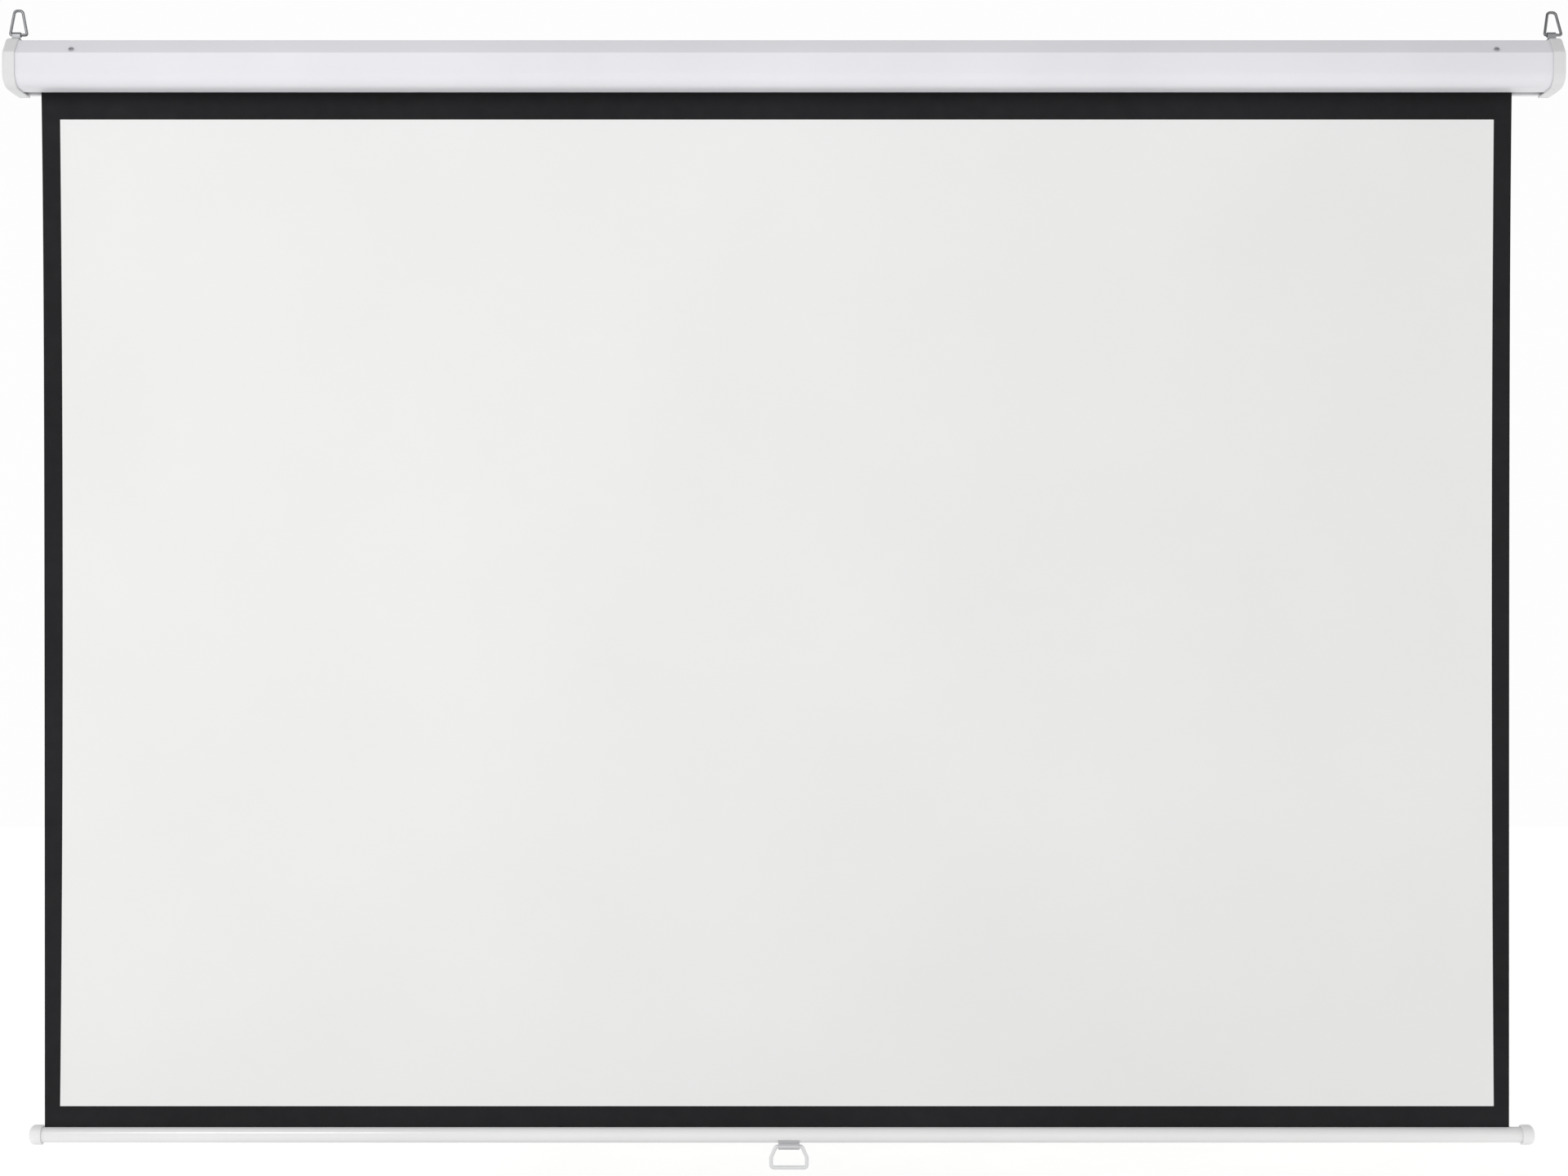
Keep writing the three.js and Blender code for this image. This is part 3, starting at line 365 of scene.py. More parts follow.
def cloudy(tree, add, source, scale, low, high, detail=4, stretch=(1, 1, 1)):
    """Noise of the given scale, in lumps to the metre, spread between low and high. Rare peaks may
    pass these ends a little, because a cut-off peak would be a flat spot with an edge."""
    mapping = add("ShaderNodeMapping", {"Scale": stretch})
    noise = add("ShaderNodeTexNoise", {"Scale": scale, "Detail": detail})
    limits = {"From Min": NOISE_LOW, "From Max": NOISE_HIGH, "To Min": low, "To Max": high}
    spread = add("ShaderNodeMapRange", limits, clamp=False)
    tree.links.new(source, mapping.inputs["Vector"])
    tree.links.new(mapping.outputs["Vector"], noise.inputs["Vector"])
    tree.links.new(noise.outputs["Fac"], spread.inputs["Value"])
    return spread.outputs["Result"]


def tinted(tree, add, shader, factor, dark, light):
    """The colour runs from dark to light as the factor runs from 0 to 1."""
    blend = add("ShaderNodeMix", data_type="RGBA")
    blend.inputs["A"].default_value = (*dark, 1)
    blend.inputs["B"].default_value = (*light, 1)
    tree.links.new(factor, blend.inputs["Factor"])
    tree.links.new(blend.outputs["Result"], shader.inputs["Base Color"])


def raised(tree, add, shader, height, strength, distance):
    """Small heights, as bump: distance is the height of the relief in metres."""
    bump = add("ShaderNodeBump", {"Strength": strength, "Distance": distance})
    tree.links.new(height, bump.inputs["Height"])
    tree.links.new(bump.outputs["Normal"], shader.inputs["Normal"])


# %% One recipe for enamel, plastic and metal
COLOUR_LUMPS, GLOSS_LUMPS = 5, 70
GRAIN_STRENGTH = 0.5


def satin(name, dark, light, gloss, grain, relief, metallic=0.0, stretch=(1, 1, 1), shine=0.5):
    """A smooth surface: clouds of colour between dark and light, a roughness that wanders over
    the range called gloss, and grain, in lumps to the metre, with its relief in metres."""
    material, tree, shader, add = shader_for(name, light, gloss[0], metallic)
    shader.inputs["Specular IOR Level"].default_value = shine
    place = add("ShaderNodeTexCoord").outputs["Object"]
    tinted(tree, add, shader, cloudy(tree, add, place, COLOUR_LUMPS, 0, 1), dark, light)
    uneven = cloudy(tree, add, place, GLOSS_LUMPS, *gloss, 6, stretch)
    tree.links.new(uneven, shader.inputs["Roughness"])
    fine = cloudy(tree, add, place, grain, 0, 1, 2, stretch)
    raised(tree, add, shader, fine, GRAIN_STRENGTH, relief)
    return material


# %% Enamel and plastic
white_enamel = satin("white_enamel", (0.77, 0.77, 0.805), (0.81, 0.805, 0.84),
                     (0.36, 0.46), 450, 0.000008, shine=0.2)
bar_enamel = satin("bar_enamel", (0.815, 0.82, 0.815), (0.85, 0.855, 0.85),
                   (0.14, 0.22), 450, 0.000008)
white_plastic = satin("white_plastic", (0.71, 0.71, 0.72), (0.75, 0.75, 0.755),
                      (0.36, 0.50), 1500, 0.00003)
handle_plastic = satin("handle_plastic", (0.74, 0.745, 0.75), (0.80, 0.805, 0.81),
                       (0.31, 0.44), 900, 0.00003)
nose_plastic = satin("nose_plastic", (0.84, 0.84, 0.845), (0.88, 0.88, 0.88),
                     (0.34, 0.48), 1500, 0.00003)
grey_plastic = satin("grey_plastic", (0.095, 0.095, 0.105), (0.13, 0.13, 0.14),
                     (0.42, 0.60), 1500, 0.00003)
nylon = satin("nylon", (0.64, 0.61, 0.53), (0.72, 0.69, 0.61), (0.40, 0.58), 1200, 0.00002)

# %% Metal
zinc_steel = satin("zinc_steel", (0.46, 0.47, 0.49), (0.62, 0.63, 0.65),
                   (0.31, 0.48), 900, 0.00002, metallic=1.0, stretch=(0.1, 1, 1))
# The straps' zinc plate, made darker than zinc_steel as painted shade on the straps.
shaded_strap_steel = satin("shaded_strap_steel", (0.28, 0.285, 0.295), (0.40, 0.405, 0.415),
                    (0.32, 0.48), 900, 0.00002, metallic=1.0)
saddle_steel = satin("saddle_steel", (0.60, 0.60, 0.615), (0.72, 0.72, 0.735),
                     (0.36, 0.52), 1300, 0.00003, metallic=0.7)
screw_steel = satin("screw_steel", (0.44, 0.44, 0.46), (0.58, 0.58, 0.60),
                    (0.32, 0.50), 1800, 0.00002, metallic=1.0)
# Bright steel wire, coloured far darker than bright steel as painted shade on the rings.
bright_wire = satin("bright_wire", (0.20, 0.203, 0.212), (0.29, 0.294, 0.305),
                    (0.12, 0.22), 1600, 0.00002, metallic=1.0)
spring_steel = satin("spring_steel", (0.10, 0.11, 0.12), (0.17, 0.18, 0.19),
                     (0.32, 0.48), 1400, 0.00002, metallic=1.0)

# %% Cloth
CLOTH_COLOUR_LUMPS, CLOTH_GLOSS_LUMPS = 2.5, 40
THREAD, THREAD_RELIEF, THREAD_STRENGTH = 0.0007, 0.00004, 0.35


def woven(name, dark, light, roughness, shine):
    """Coated cloth: two crossing waves, one turn of each to a thread, under a matt coat. The waves
    follow the piece's own map, so they rise and flatten with the sheet. A wave's angle is 20 times
    its scale times the distance, so its scale is a full turn over 20 threads."""
    material, tree, shader, add = shader_for(name, light, roughness)
    shader.inputs["Specular IOR Level"].default_value = shine
    place = add("ShaderNodeUVMap", uv_map="cloth").outputs["UV"]
    tinted(tree, add, shader, cloudy(tree, add, place, CLOTH_COLOUR_LUMPS, 0, 1, 5), dark, light)
    uneven = cloudy(tree, add, place, CLOTH_GLOSS_LUMPS, roughness - 0.08, roughness + 0.06, 5)
    tree.links.new(uneven, shader.inputs["Roughness"])
    scale = 2 * math.pi / (20 * THREAD)
    across = add("ShaderNodeTexWave", {"Scale": scale}, bands_direction="X")
    down = add("ShaderNodeTexWave", {"Scale": scale}, bands_direction="Y")
    weave = add("ShaderNodeMath", operation="MULTIPLY")
    for wave, socket in ((across, 0), (down, 1)):
        tree.links.new(place, wave.inputs["Vector"])
        tree.links.new(wave.outputs["Fac"], weave.inputs[socket])
    raised(tree, add, shader, weave.outputs[0], THREAD_STRENGTH, THREAD_RELIEF)
    return material


screen_white = woven("screen_white", (0.815, 0.815, 0.81), (0.84, 0.84, 0.835), 0.86, 0.3)
border_black = woven("border_black", (0.0095, 0.009, 0.0105), (0.014, 0.013, 0.015), 0.78, 0.2)
print("finishes:", len(bpy.data.materials))

# %% [markdown]
# ## Floor
#
# The screen hangs on a wall or from a ceiling, so the floor is well under the handle. It is a
# plain pale sheet that sends soft light up to the underside of the case and of the bar. Studio
# floors of this kind run up into the wall in one sweep and have lamps of their own. A floor that
# glows more with its distance from the screen gives the same even white, with no horizon line.

# %% Floor
FLOOR_Z = -2.0
FLOOR_HALF = 9
GLOW_START, GLOW_FULL, GLOW_STRENGTH = 0.4, 1.7, 0.52

floor_white = satin("floor_white", (0.86, 0.86, 0.86), (0.9, 0.9, 0.9), (0.8, 0.9), 60, 0.0001)
floor_tree = floor_white.node_tree
add_to_floor = node_adder(floor_tree)
floor_place = add_to_floor("ShaderNodeTexCoord")
flat_place = add_to_floor("ShaderNodeVectorMath", {1: (1, 1, 0)}, operation="MULTIPLY")
floor_distance = add_to_floor("ShaderNodeVectorMath", operation="LENGTH")
glow = smooth_range(add_to_floor, GLOW_START, GLOW_FULL, 0.0, GLOW_STRENGTH)
floor_shader = floor_tree.nodes["Principled BSDF"]
floor_shader.inputs["Emission Color"].default_value = (1, 1, 0.985, 1)
floor_tree.links.new(floor_place.outputs["Object"], flat_place.inputs[0])
floor_tree.links.new(flat_place.outputs["Vector"], floor_distance.inputs[0])
floor_tree.links.new(floor_distance.outputs["Value"], glow.inputs["Value"])
floor_tree.links.new(glow.outputs["Result"], floor_shader.inputs["Emission Strength"])

floor_corners = [(x * FLOOR_HALF, y * FLOOR_HALF, FLOOR_Z)
                 for x, y in ((-1, -1), (1, -1), (1, 1), (-1, 1))]
floor_mesh = bpy.data.meshes.new("floor")
floor_mesh.from_pydata(floor_corners, [], [(0, 1, 2, 3)])
floor_mesh.materials.append(floor_white)
floor = bpy.data.objects.new("floor", floor_mesh)
bpy.context.scene.collection.objects.link(floor)

# %% [markdown]
# ## Case
#
# The case is one strip of painted steel, rolled between wheels into a channel: flat back and top,
# a slanted strip, a flat front, a round belly, and two turned-in lips along the slot where the
# sheet comes out. Rolled steel never has a knife edge, so every bend gets a radius. It could be a
# box with a bevel, but a carried outline gives the true wall and the open slot in one step.

# %% Case
CASE_WALL = 1.2
CASE_END = 1086.2
CASE_TOP, CASE_UNDERSIDE = 34, -34
LIP_REAR, LIP_FRONT, LIP_HEIGHT, LIP_BEND = -8, -26, 5, 0.5
STEEL_BEND, CHAMFER_BEND, BELLY_BEND = 1.6, 2.6, 20
CASE_CORNERS = [(0, CASE_UNDERSIDE), (0, CASE_TOP), (-52, CASE_TOP), (-68, 13), (-68, -32.13),
                (LIP_FRONT, CASE_UNDERSIDE)]
CASE_RADII = [STEEL_BEND, STEEL_BEND, CHAMFER_BEND, CHAMFER_BEND, BELLY_BEND, STEEL_BEND]

# The outline is rounded as a closed one, with the slot's two upper corners, and then cut open
# there: it starts at the top of the rear lip and ends at the top of the front lip
lip_top = CASE_UNDERSIDE + LIP_HEIGHT
closed_corners = CASE_CORNERS + [(LIP_FRONT, lip_top), (LIP_REAR, lip_top),
                                 (LIP_REAR, CASE_UNDERSIDE)]
bends = rounded(closed_corners, CASE_RADII + [LIP_BEND, LIP_BEND, STEEL_BEND])
bends = bends.reshape(len(closed_corners), -1, 2)
channel_path = np.concatenate([[(LIP_REAR, lip_top)], bends[-1], *bends[:len(CASE_CORNERS)],
                               [(LIP_FRONT, lip_top)]])
channel = np.concatenate([channel_path, offset(channel_path, -CASE_WALL, False)[::-1]])
case_channel = carried("case_channel", channel, [-CASE_END, CASE_END], white_enamel, crease=40)
settle(case_channel, "root", "white_enamel", "case_shell")

# %% [markdown]
# ## End caps
#
# Each end of the case is closed by a moulded cover: the case's own outline, 2.5 mm larger, with a
# rounded edge where it turns into the end face, a pocket that slips over the steel, and two
# counterbores for its screws. The outside is a stack of outlines that shrink along a quarter
# circle, and the pocket and the counterbores are then cut out exactly.

# %% End caps
OVERALL_HALF = 1091
FIT_GAP = 0.3
CAP_LENGTH, CAP_GROW, CAP_EDGE, CAP_END_WALL = 18, 2.5, 5, 4.5
CAP_RIM_EDGE, CAP_LEAST_RADIUS, CAP_LAST_STEP = 0.5, 0.4, 0.3
CAP_SCREWS = [(-14, 22), (-54, -14)]
SCREW_RECESS, BORE_RADIUS, BORE_SIDES = 2.8, 3.9, 48
CUT_OVERRUN, WALL_OVERRUN = 1, 6


def cap_outline(grow):
    """The case's corners moved outwards and rounded anew, each radius larger by the same step,
    then cut flat where the outline would pass the wall. A radius that would vanish keeps
    0.4 mm."""
    corners = offset(np.array(CASE_CORNERS, float), grow)
    outline = rounded(corners, np.maximum(np.array(CASE_RADII) + grow, CAP_LEAST_RADIUS))
    return np.stack([np.minimum(outline[:, 0], 0), outline[:, 1]], axis=1)


def cap_body(name, side, rim):
    """Station x and outline shrink go together: x = length - edge (1 - sin a) and shrink =
    edge (1 - cos a). One more narrow step in the end's own plane keeps that flat face even."""
    angle = np.linspace(0, math.pi / 2, 10)
    x = np.concatenate([[0, CAP_RIM_EDGE], CAP_LENGTH - CAP_EDGE * (1 - np.sin(angle)),
                        [CAP_LENGTH]])
    shrink = np.concatenate([[CAP_RIM_EDGE, 0], CAP_EDGE * (1 - np.cos(angle)),
                             [CAP_EDGE + CAP_LAST_STEP]])
    sections = np.array([cap_outline(CAP_GROW - s) for s in shrink])
    return carried(name, sections, rim + side * x, white_plastic)


def cap_cutters(side, rim):
    """The pocket, which runs out past the wall, and a cylinder for each screw's counterbore."""
    corners = [(WALL_OVERRUN, z) for _, z in CASE_CORNERS[:2]] + CASE_CORNERS[2:]
    pocket = offset(rounded(corners, CASE_RADII), FIT_GAP)
    stations = [rim - side * CUT_OVERRUN, rim + side * (CAP_LENGTH - CAP_END_WALL)]
    cutters = [carried("pocket", pocket, stations, white_plastic)]
    start, end = CAP_LENGTH - SCREW_RECESS, CAP_LENGTH + CUT_OVERRUN
    for y, z in CAP_SCREWS:
        bore = turned_points([(start, 0), (start, BORE_RADIUS), (end, BORE_RADIUS), (end, 0)],
                             BORE_SIDES)
        cutters.append(turned("counterbore", bore * (side, 1, 1) + (rim, y, z), white_plastic))
    return cutters


for side, hand in SIDES:
    rim = side * (OVERALL_HALF - CAP_LENGTH)
    cover = carve(cap_body(f"{hand}_end_cover", side, rim), *cap_cutters(side, rim))
    settle(cover, "root", "white_plastic", f"{hand}_end_cap")

# %% [markdown]
# ## Screws
#
# All screws are small pan heads with a cross recess. The head is a grid in polar form: its height
# falls with the square of the radius, and the recess is taken off where a point lies near either
# arm of the cross. That needs no cutting tool and gives the soft edges of a pressed recess.

# %% Screws
HEAD_RADIUS, HEAD_HEIGHT, HEAD_CROWN, HEAD_ROWS = 3.6, 2.2, 0.7, 20
SHANK_RADIUS, SHANK_TIP = 1.8, 1.4
ARM_HALF_WIDTH, ARM_SLOPE, ARM_REACH, RECESS_DEPTH = 0.62, 0.25, 2.3, 1.1


def screw_points(length, sides=72):
    """Rows run from the tip along the shank and the head's rim to the middle of the head. On top,
    height = crown less recess, and recess = depth x nearness to an arm x fade toward its end."""
    angle = np.linspace(0, 2 * math.pi, sides, endpoint=False)
    side_rows = turned_points([
        (-length, 0), (-length + SHANK_TIP, SHANK_RADIUS), (0, SHANK_RADIUS),
        (0, HEAD_RADIUS - 0.15), (0.15, HEAD_RADIUS), (0.9, HEAD_RADIUS),
        (1.3, HEAD_RADIUS - 0.12),
    ], sides)
    radius = np.linspace(HEAD_RADIUS - 0.3, 0, HEAD_ROWS)[:, None]
    y, z = radius * np.sin(angle), radius * np.cos(angle)
    near_arm = np.clip((ARM_HALF_WIDTH - np.minimum(abs(y), abs(z))) / ARM_SLOPE, 0, 1)
    fade = np.clip(ARM_REACH - radius, 0, 1)
    top = HEAD_HEIGHT - HEAD_CROWN * (radius / HEAD_RADIUS) ** 2 - RECESS_DEPTH * near_arm * fade
    return np.concatenate([side_rows, np.stack([top, y, z], axis=-1)])


def screw(name, length, axis, across, seat, node):
    """Turns the screw so that its head points along axis, with across as its second direction."""
    axis, across = unit(np.array(axis, float)), np.array(across, float)
    basis = np.stack([axis, across, np.cross(axis, across)])
    made = turned(name, screw_points(length) @ basis + seat, screw_steel, crease=40)
    settle(made, "root", "screw_steel", node)


# %% Screws in their places
CASE_SCREW_X, CASE_SCREW_DOWN, CASE_SCREW_LENGTH = 995, 0.77, 5.1
CAP_SCREW_X, CAP_SCREW_LENGTH = OVERALL_HALF - SCREW_RECESS + FIT_GAP, 5.6
STRAP_X, STRAP_SCREW_Y, STRAP_SCREW_Z, STRAP_SCREW_LENGTH = 1079.5, -28.75, 38.6, 7

chamfer_top, chamfer_foot = [np.array([0, *corner]) for corner in CASE_CORNERS[2:4]]
chamfer_run = chamfer_foot - chamfer_top
chamfer_out = np.array([0, chamfer_run[2], -chamfer_run[1]], float)
case_screw_spot = chamfer_top + CASE_SCREW_DOWN * chamfer_run + FIT_GAP * unit(chamfer_out)
for side, hand in SIDES:
    screw(f"{hand}_chamfer_screw", CASE_SCREW_LENGTH, chamfer_out, (1, 0, 0),
          case_screw_spot + (side * CASE_SCREW_X, 0, 0), f"{hand}_case_screw")
    for (y, z), level in zip(CAP_SCREWS, ("upper", "lower")):
        screw(f"{hand}_cover_screw_{level}", CAP_SCREW_LENGTH, (side, 0, 0), (0, 1, 0),
              (side * CAP_SCREW_X, y, z), f"{hand}_cap_screw_{level}")
    screw(f"{hand}_strap_pan_screw", STRAP_SCREW_LENGTH, (0, 0, 1), (1, 0, 0),
          (side * STRAP_X, STRAP_SCREW_Y, STRAP_SCREW_Z), f"{hand}_strap_screw")

# %% [markdown]
# ## Hanging rings and their straps
#
# The screen hangs by two bent wire triangles. Each is held by a strap of steel that curls round
# the wire's foot and lies flat on the end cap under a screw. The strap is one strip along a path:
# foot, neck and curl. The ring is a round wire along a path with rounded corners. The left one
# stands upright and the right one leans back by 12 degrees.

# %% Straps
RING_AXIS = np.array([0, -38, 44.3])
STRAP_HALF_WIDTH, STRAP_WALL = 6, 1.5
FOOT_END, FOOT_Z, FOOT_BEND = 15.25, -6.75, 2
CURL_RADIUS, CURL_END = 3.05, -118

bend = arc((-CURL_RADIUS + FOOT_BEND, FOOT_Z + FOOT_BEND), FOOT_BEND, 270, 180, steps=8)
curl = arc((0, 0), CURL_RADIUS, 180, CURL_END, steps=40)
strap_path = np.concatenate([[(FOOT_END, FOOT_Z)], bend, curl])
strap_outline = strip(strap_path, STRAP_WALL) + RING_AXIS[1:]
strap_sides = np.array([-STRAP_HALF_WIDTH, STRAP_HALF_WIDTH])
for side, hand in SIDES:
    strap = carried(f"{hand}_strap", strap_outline, side * STRAP_X + strap_sides, shaded_strap_steel)
    soften(strap)
    settle(strap, "root", "zinc_steel", f"{hand}_ring_strap")

# %% Rings
WIRE_RADIUS = 2.0
RING_FOOT, RING_TOP, RING_HEIGHT = 11.9, 5.5, 34
RING_FOOT_BEND, RING_TOP_BEND = 2.2, 5
RINGS = (("left", -1076.9, 0), ("right", 1082.1, 12))

ring_corners = [(-RING_FOOT, 0), (RING_FOOT, 0), (RING_TOP, RING_HEIGHT), (-RING_TOP, RING_HEIGHT)]
ring_bends = [RING_FOOT_BEND, RING_FOOT_BEND, RING_TOP_BEND, RING_TOP_BEND]
ring_wire = wire_points(rounded(ring_corners, ring_bends, steps=12), WIRE_RADIUS)


def leant(points, degrees, centre):
    """Turns points about the X axis through zero, top toward the wall, and moves them to centre."""
    a = math.radians(degrees)
    turn = np.array([[1, 0, 0], [0, math.cos(a), -math.sin(a)], [0, math.sin(a), math.cos(a)]])
    return points @ turn + centre


for hand, x, lean in RINGS:
    ring = looped(f"{hand}_ring", leant(ring_wire, lean, RING_AXIS + (x, 0, 0)), bright_wire)
    settle(ring, f"{hand}_ring", "bright_wire", f"{hand}_hanging_ring")

# %% [markdown]
# ## The sheet
#
# The screen itself is a coated cloth: matt white in front, black behind so that no light comes
# through, with a black border printed round the picture. It is cut square but never hangs quite
# square. Near the roller it is a few millimetres wider, and its white edge is pinched in by 3 to
# 4 mm at half height. The grid's columns follow the printed edge, so the border is a true line of
# faces and needs no picture. A cloth simulation was not used: the bar pulls the sheet flat.

# %% The sheet's edges
SHEET_TOP, WHITE_TOP, SHEET_BOTTOM = 2.0, -70.3, -1467.5
SHEET_THICKNESS = 0.4
SHEET_LEFT, PRINT_LEFT, PRINT_RIGHT, SHEET_RIGHT = -1047, -1021.4, 1002.4, 1027
WIDEN_LEFT, WIDEN_RIGHT, WIDEN_DEPTH = 5.4, 4.2, 300
PINCH_LEFT, PINCH_RIGHT = 3.8, 2.8
MIDDLE_DEPTH, HALF_PICTURE = 769, 699
RIPPLE, RIPPLE_WIDTH, RIPPLE_SPAN, RIPPLE_TURN, RIPPLE_SHIFT = 0.5, 210, 470, 1.3, 0.4


def sheet_edges(z):
    """Outer edges widen as e to the minus depth over 300 mm. The print's edges are a parabola."""
    depth = -z
    widen = np.exp(-depth / WIDEN_DEPTH)
    pinch = ((depth - MIDDLE_DEPTH) / HALF_PICTURE) ** 2
    return np.stack([SHEET_LEFT - WIDEN_LEFT * widen, PRINT_LEFT - PINCH_LEFT * pinch,
                     PRINT_RIGHT + PINCH_RIGHT * pinch, SHEET_RIGHT + WIDEN_RIGHT * widen], axis=1)


def sheet_ripple(x, z):
    """A lazy wave of half a millimetre, gone at the roller and at the bar."""
    share = np.clip(z / SHEET_BOTTOM, 0, 1)
    waves = np.sin(x / RIPPLE_WIDTH + RIPPLE_TURN * share) * np.cos(x / RIPPLE_SPAN - RIPPLE_SHIFT)
    return RIPPLE * np.sin(math.pi * share) ** 2 * waves


# %% The sheet's surface
BLACK_ROWS, WHITE_ROWS = 9, 71
BLACK_COLUMNS, WHITE_COLUMNS = 5, 120

heights = np.concatenate([np.linspace(SHEET_TOP, WHITE_TOP, BLACK_ROWS + 1),
                          np.linspace(WHITE_TOP, SHEET_BOTTOM, WHITE_ROWS + 1)[1:]])
edges = sheet_edges(heights)
left = np.linspace(edges[:, 0], edges[:, 1], BLACK_COLUMNS + 1, axis=1)
picture = np.linspace(edges[:, 1], edges[:, 2], WHITE_COLUMNS + 1, axis=1)[:, 1:]
right = np.linspace(edges[:, 2], edges[:, 3], BLACK_COLUMNS + 1, axis=1)[:, 1:]
across = np.concatenate([left, picture, right], axis=1)
rows, columns = across.shape
down = np.broadcast_to(heights[:, None], across.shape)
middle = SHEET_Y + sheet_ripple(across, down)
front = np.stack([across, middle - SHEET_THICKNESS / 2, down], axis=-1).reshape(-1, 3)
rear = np.stack([across, middle + SHEET_THICKNESS / 2, down], axis=-1).reshape(-1, 3)

# The rear has the front's faces turned over, and a rim of faces joins the two all round
front_faces = np.array(grid_faces(rows, columns))
rear_faces = front_faces[:, ::-1] + rows * columns
index = np.arange(rows * columns).reshape(rows, columns)
rim = np.concatenate([index[0], index[1:, -1], index[-1, -2::-1], index[-2:0:-1, 0]])
ahead = np.roll(rim, -1)
rim_faces = np.stack([rim, ahead, ahead + rows * columns, rim + rows * columns], axis=1)
all_faces = np.concatenate([front_faces, rear_faces, rim_faces]).tolist()
screen_sheet = piece("screen_sheet", np.concatenate([front, rear]), all_faces, border_black,
                     crease=60)


# %% The sheet's print and map
def flat_map(made):
    """The cloth's own map: across is X and along is Z at rest, both in metres."""
    mesh = made.data
    places = np.empty(len(mesh.vertices) * 3)
    mesh.vertices.foreach_get("co", places)
    corners = np.empty(len(mesh.loops), int)
    mesh.loops.foreach_get("vertex_index", corners)
    layer = mesh.uv_layers.new(name="cloth")
    layer.uv.foreach_set("vector", places.reshape(-1, 3)[corners][:, [0, 2]].ravel())


def print_white(made):
    """A face is white where its middle lies inside the printed edges and faces the room."""
    mesh = made.data
    middles, normals = np.empty(len(mesh.polygons) * 3), np.empty(len(mesh.polygons) * 3)
    mesh.polygons.foreach_get("center", middles)
    mesh.polygons.foreach_get("normal", normals)
    x, _, z = middles.reshape(-1, 3).T / MM
    edge = sheet_edges(z)
    to_room = normals.reshape(-1, 3)[:, 1] < -0.9
    white = (x > edge[:, 1]) & (x < edge[:, 2]) & (z < WHITE_TOP) & to_room
    mesh.polygons.foreach_set("material_index", white.astype(np.int32))
    return int(white.sum())


screen_sheet.data.materials.append(screen_white)
flat_map(screen_sheet)
print("white faces:", print_white(screen_sheet), "of", len(screen_sheet.data.polygons))

# %% [markdown]
# ## How the sheet goes up
#
# The roller winds the sheet in, so the part that hangs gets shorter. The frame's travel joint
# lifts the bar by 1459 mm, and what is left of the hanging sheet is 10.5 mm.

# The cloth is cut 2076.5 mm wide, and the bounds of its length are the roller and the border
settle(screen_sheet, "root", "screen_sheet", "screen_fabric")
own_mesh(screen_sheet)

# %% [markdown]
# ## Lower border and hem
#
# The end of the same cloth is black all over. It goes down into the slot of the bar, round a thin
# rod and back up on itself, where it is glued. A slot narrower than the rod is all that holds it.
# The hem is a strip along a path, like the straps. It stops a hundredth of a millimetre short of
# the sheet above, which no eye can see, so that the two never cut into each other.

# %% Lower border and hem
BAR_CENTRE = np.array([-3, SHEET_Y, -1508])
HEM_LEFT, HEM_RIGHT = SHEET_LEFT, SHEET_RIGHT
HEM_ROD_Z, HEM_RADIUS = 6.44, 3.0
LAP_Y, LAP_TOP, LAP_FOOT = 0.42, 16, 10.4
BORDER_FOOT, BORDER_MIDDLE, BORDER_TOP = 10.8, 24, 40.49

lap = [(LAP_Y, LAP_TOP), (LAP_Y, LAP_FOOT)]
around = arc((0, HEM_ROD_Z), HEM_RADIUS, 62, -242, steps=40)
rise = [(0, BORDER_FOOT), (0, BORDER_MIDDLE), (0, BORDER_TOP)]
hem_path = np.concatenate([lap, around, rise])
hem_outline = strip(hem_path, SHEET_THICKNESS) + BAR_CENTRE[1:]
lower_border = carried("lower_border", hem_outline, np.linspace(HEM_LEFT, HEM_RIGHT, 9),
                       border_black)
flat_map(lower_border)
settle(lower_border, "bar", "black_cloth", "fabric_hem")

# %% [markdown]
# ## Weight bar
#
# The bar is a thin painted tube with a slot along its top. Its outline is a large arc and a small
# arc that meet at the slot, carried along X. A plain cylinder would show a closed top from above.

# %% Weight bar
BAR_RADIUS, BAR_INNER, BAR_SLOT, BAR_HALF, BAR_STEPS = 11, 9.8, 2.4, 1059.7, 110

open_outer = math.degrees(math.asin(BAR_SLOT / 2 / BAR_RADIUS))
open_inner = math.degrees(math.asin(BAR_SLOT / 2 / BAR_INNER))
bar_outline = np.concatenate([
    arc((0, 0), BAR_RADIUS, 90 + open_outer, 450 - open_outer, BAR_STEPS),
    arc((0, 0), BAR_INNER, 450 - open_inner, 90 + open_inner, BAR_STEPS),
]) + BAR_CENTRE[1:]
bar_ends = BAR_CENTRE[0] + np.array([-BAR_HALF, BAR_HALF])
bar_tube = carried("bar_tube", bar_outline, bar_ends, bar_enamel)
settle(bar_tube, "bar", "white_enamel", "weight_bar")

# %% [markdown]
# ## Bar caps
#
# Moulded cups over the ends of the bar, with a full round nose. The profile goes from the stem
# inside the tube, round the rim and over the nose, and is turned about the bar's axis. The nose is
# a superellipse: with a power above two it has fuller shoulders than an ellipse, like the real one.

# %% Bar caps
BAR_OVERALL_HALF = 1065
NOSE_START, NOSE_LENGTH, NOSE_RADIUS, NOSE_POWER = 9.5, 9.0, 14.0, 2.5
CUP_PROFILE = [(8.5, 0), (8.5, 9.5), (13.5, 9.5), (13.5, 11.3), (0, 11.3), (0, 13.5),
               (0.15, 13.85), (0.5, NOSE_RADIUS)]

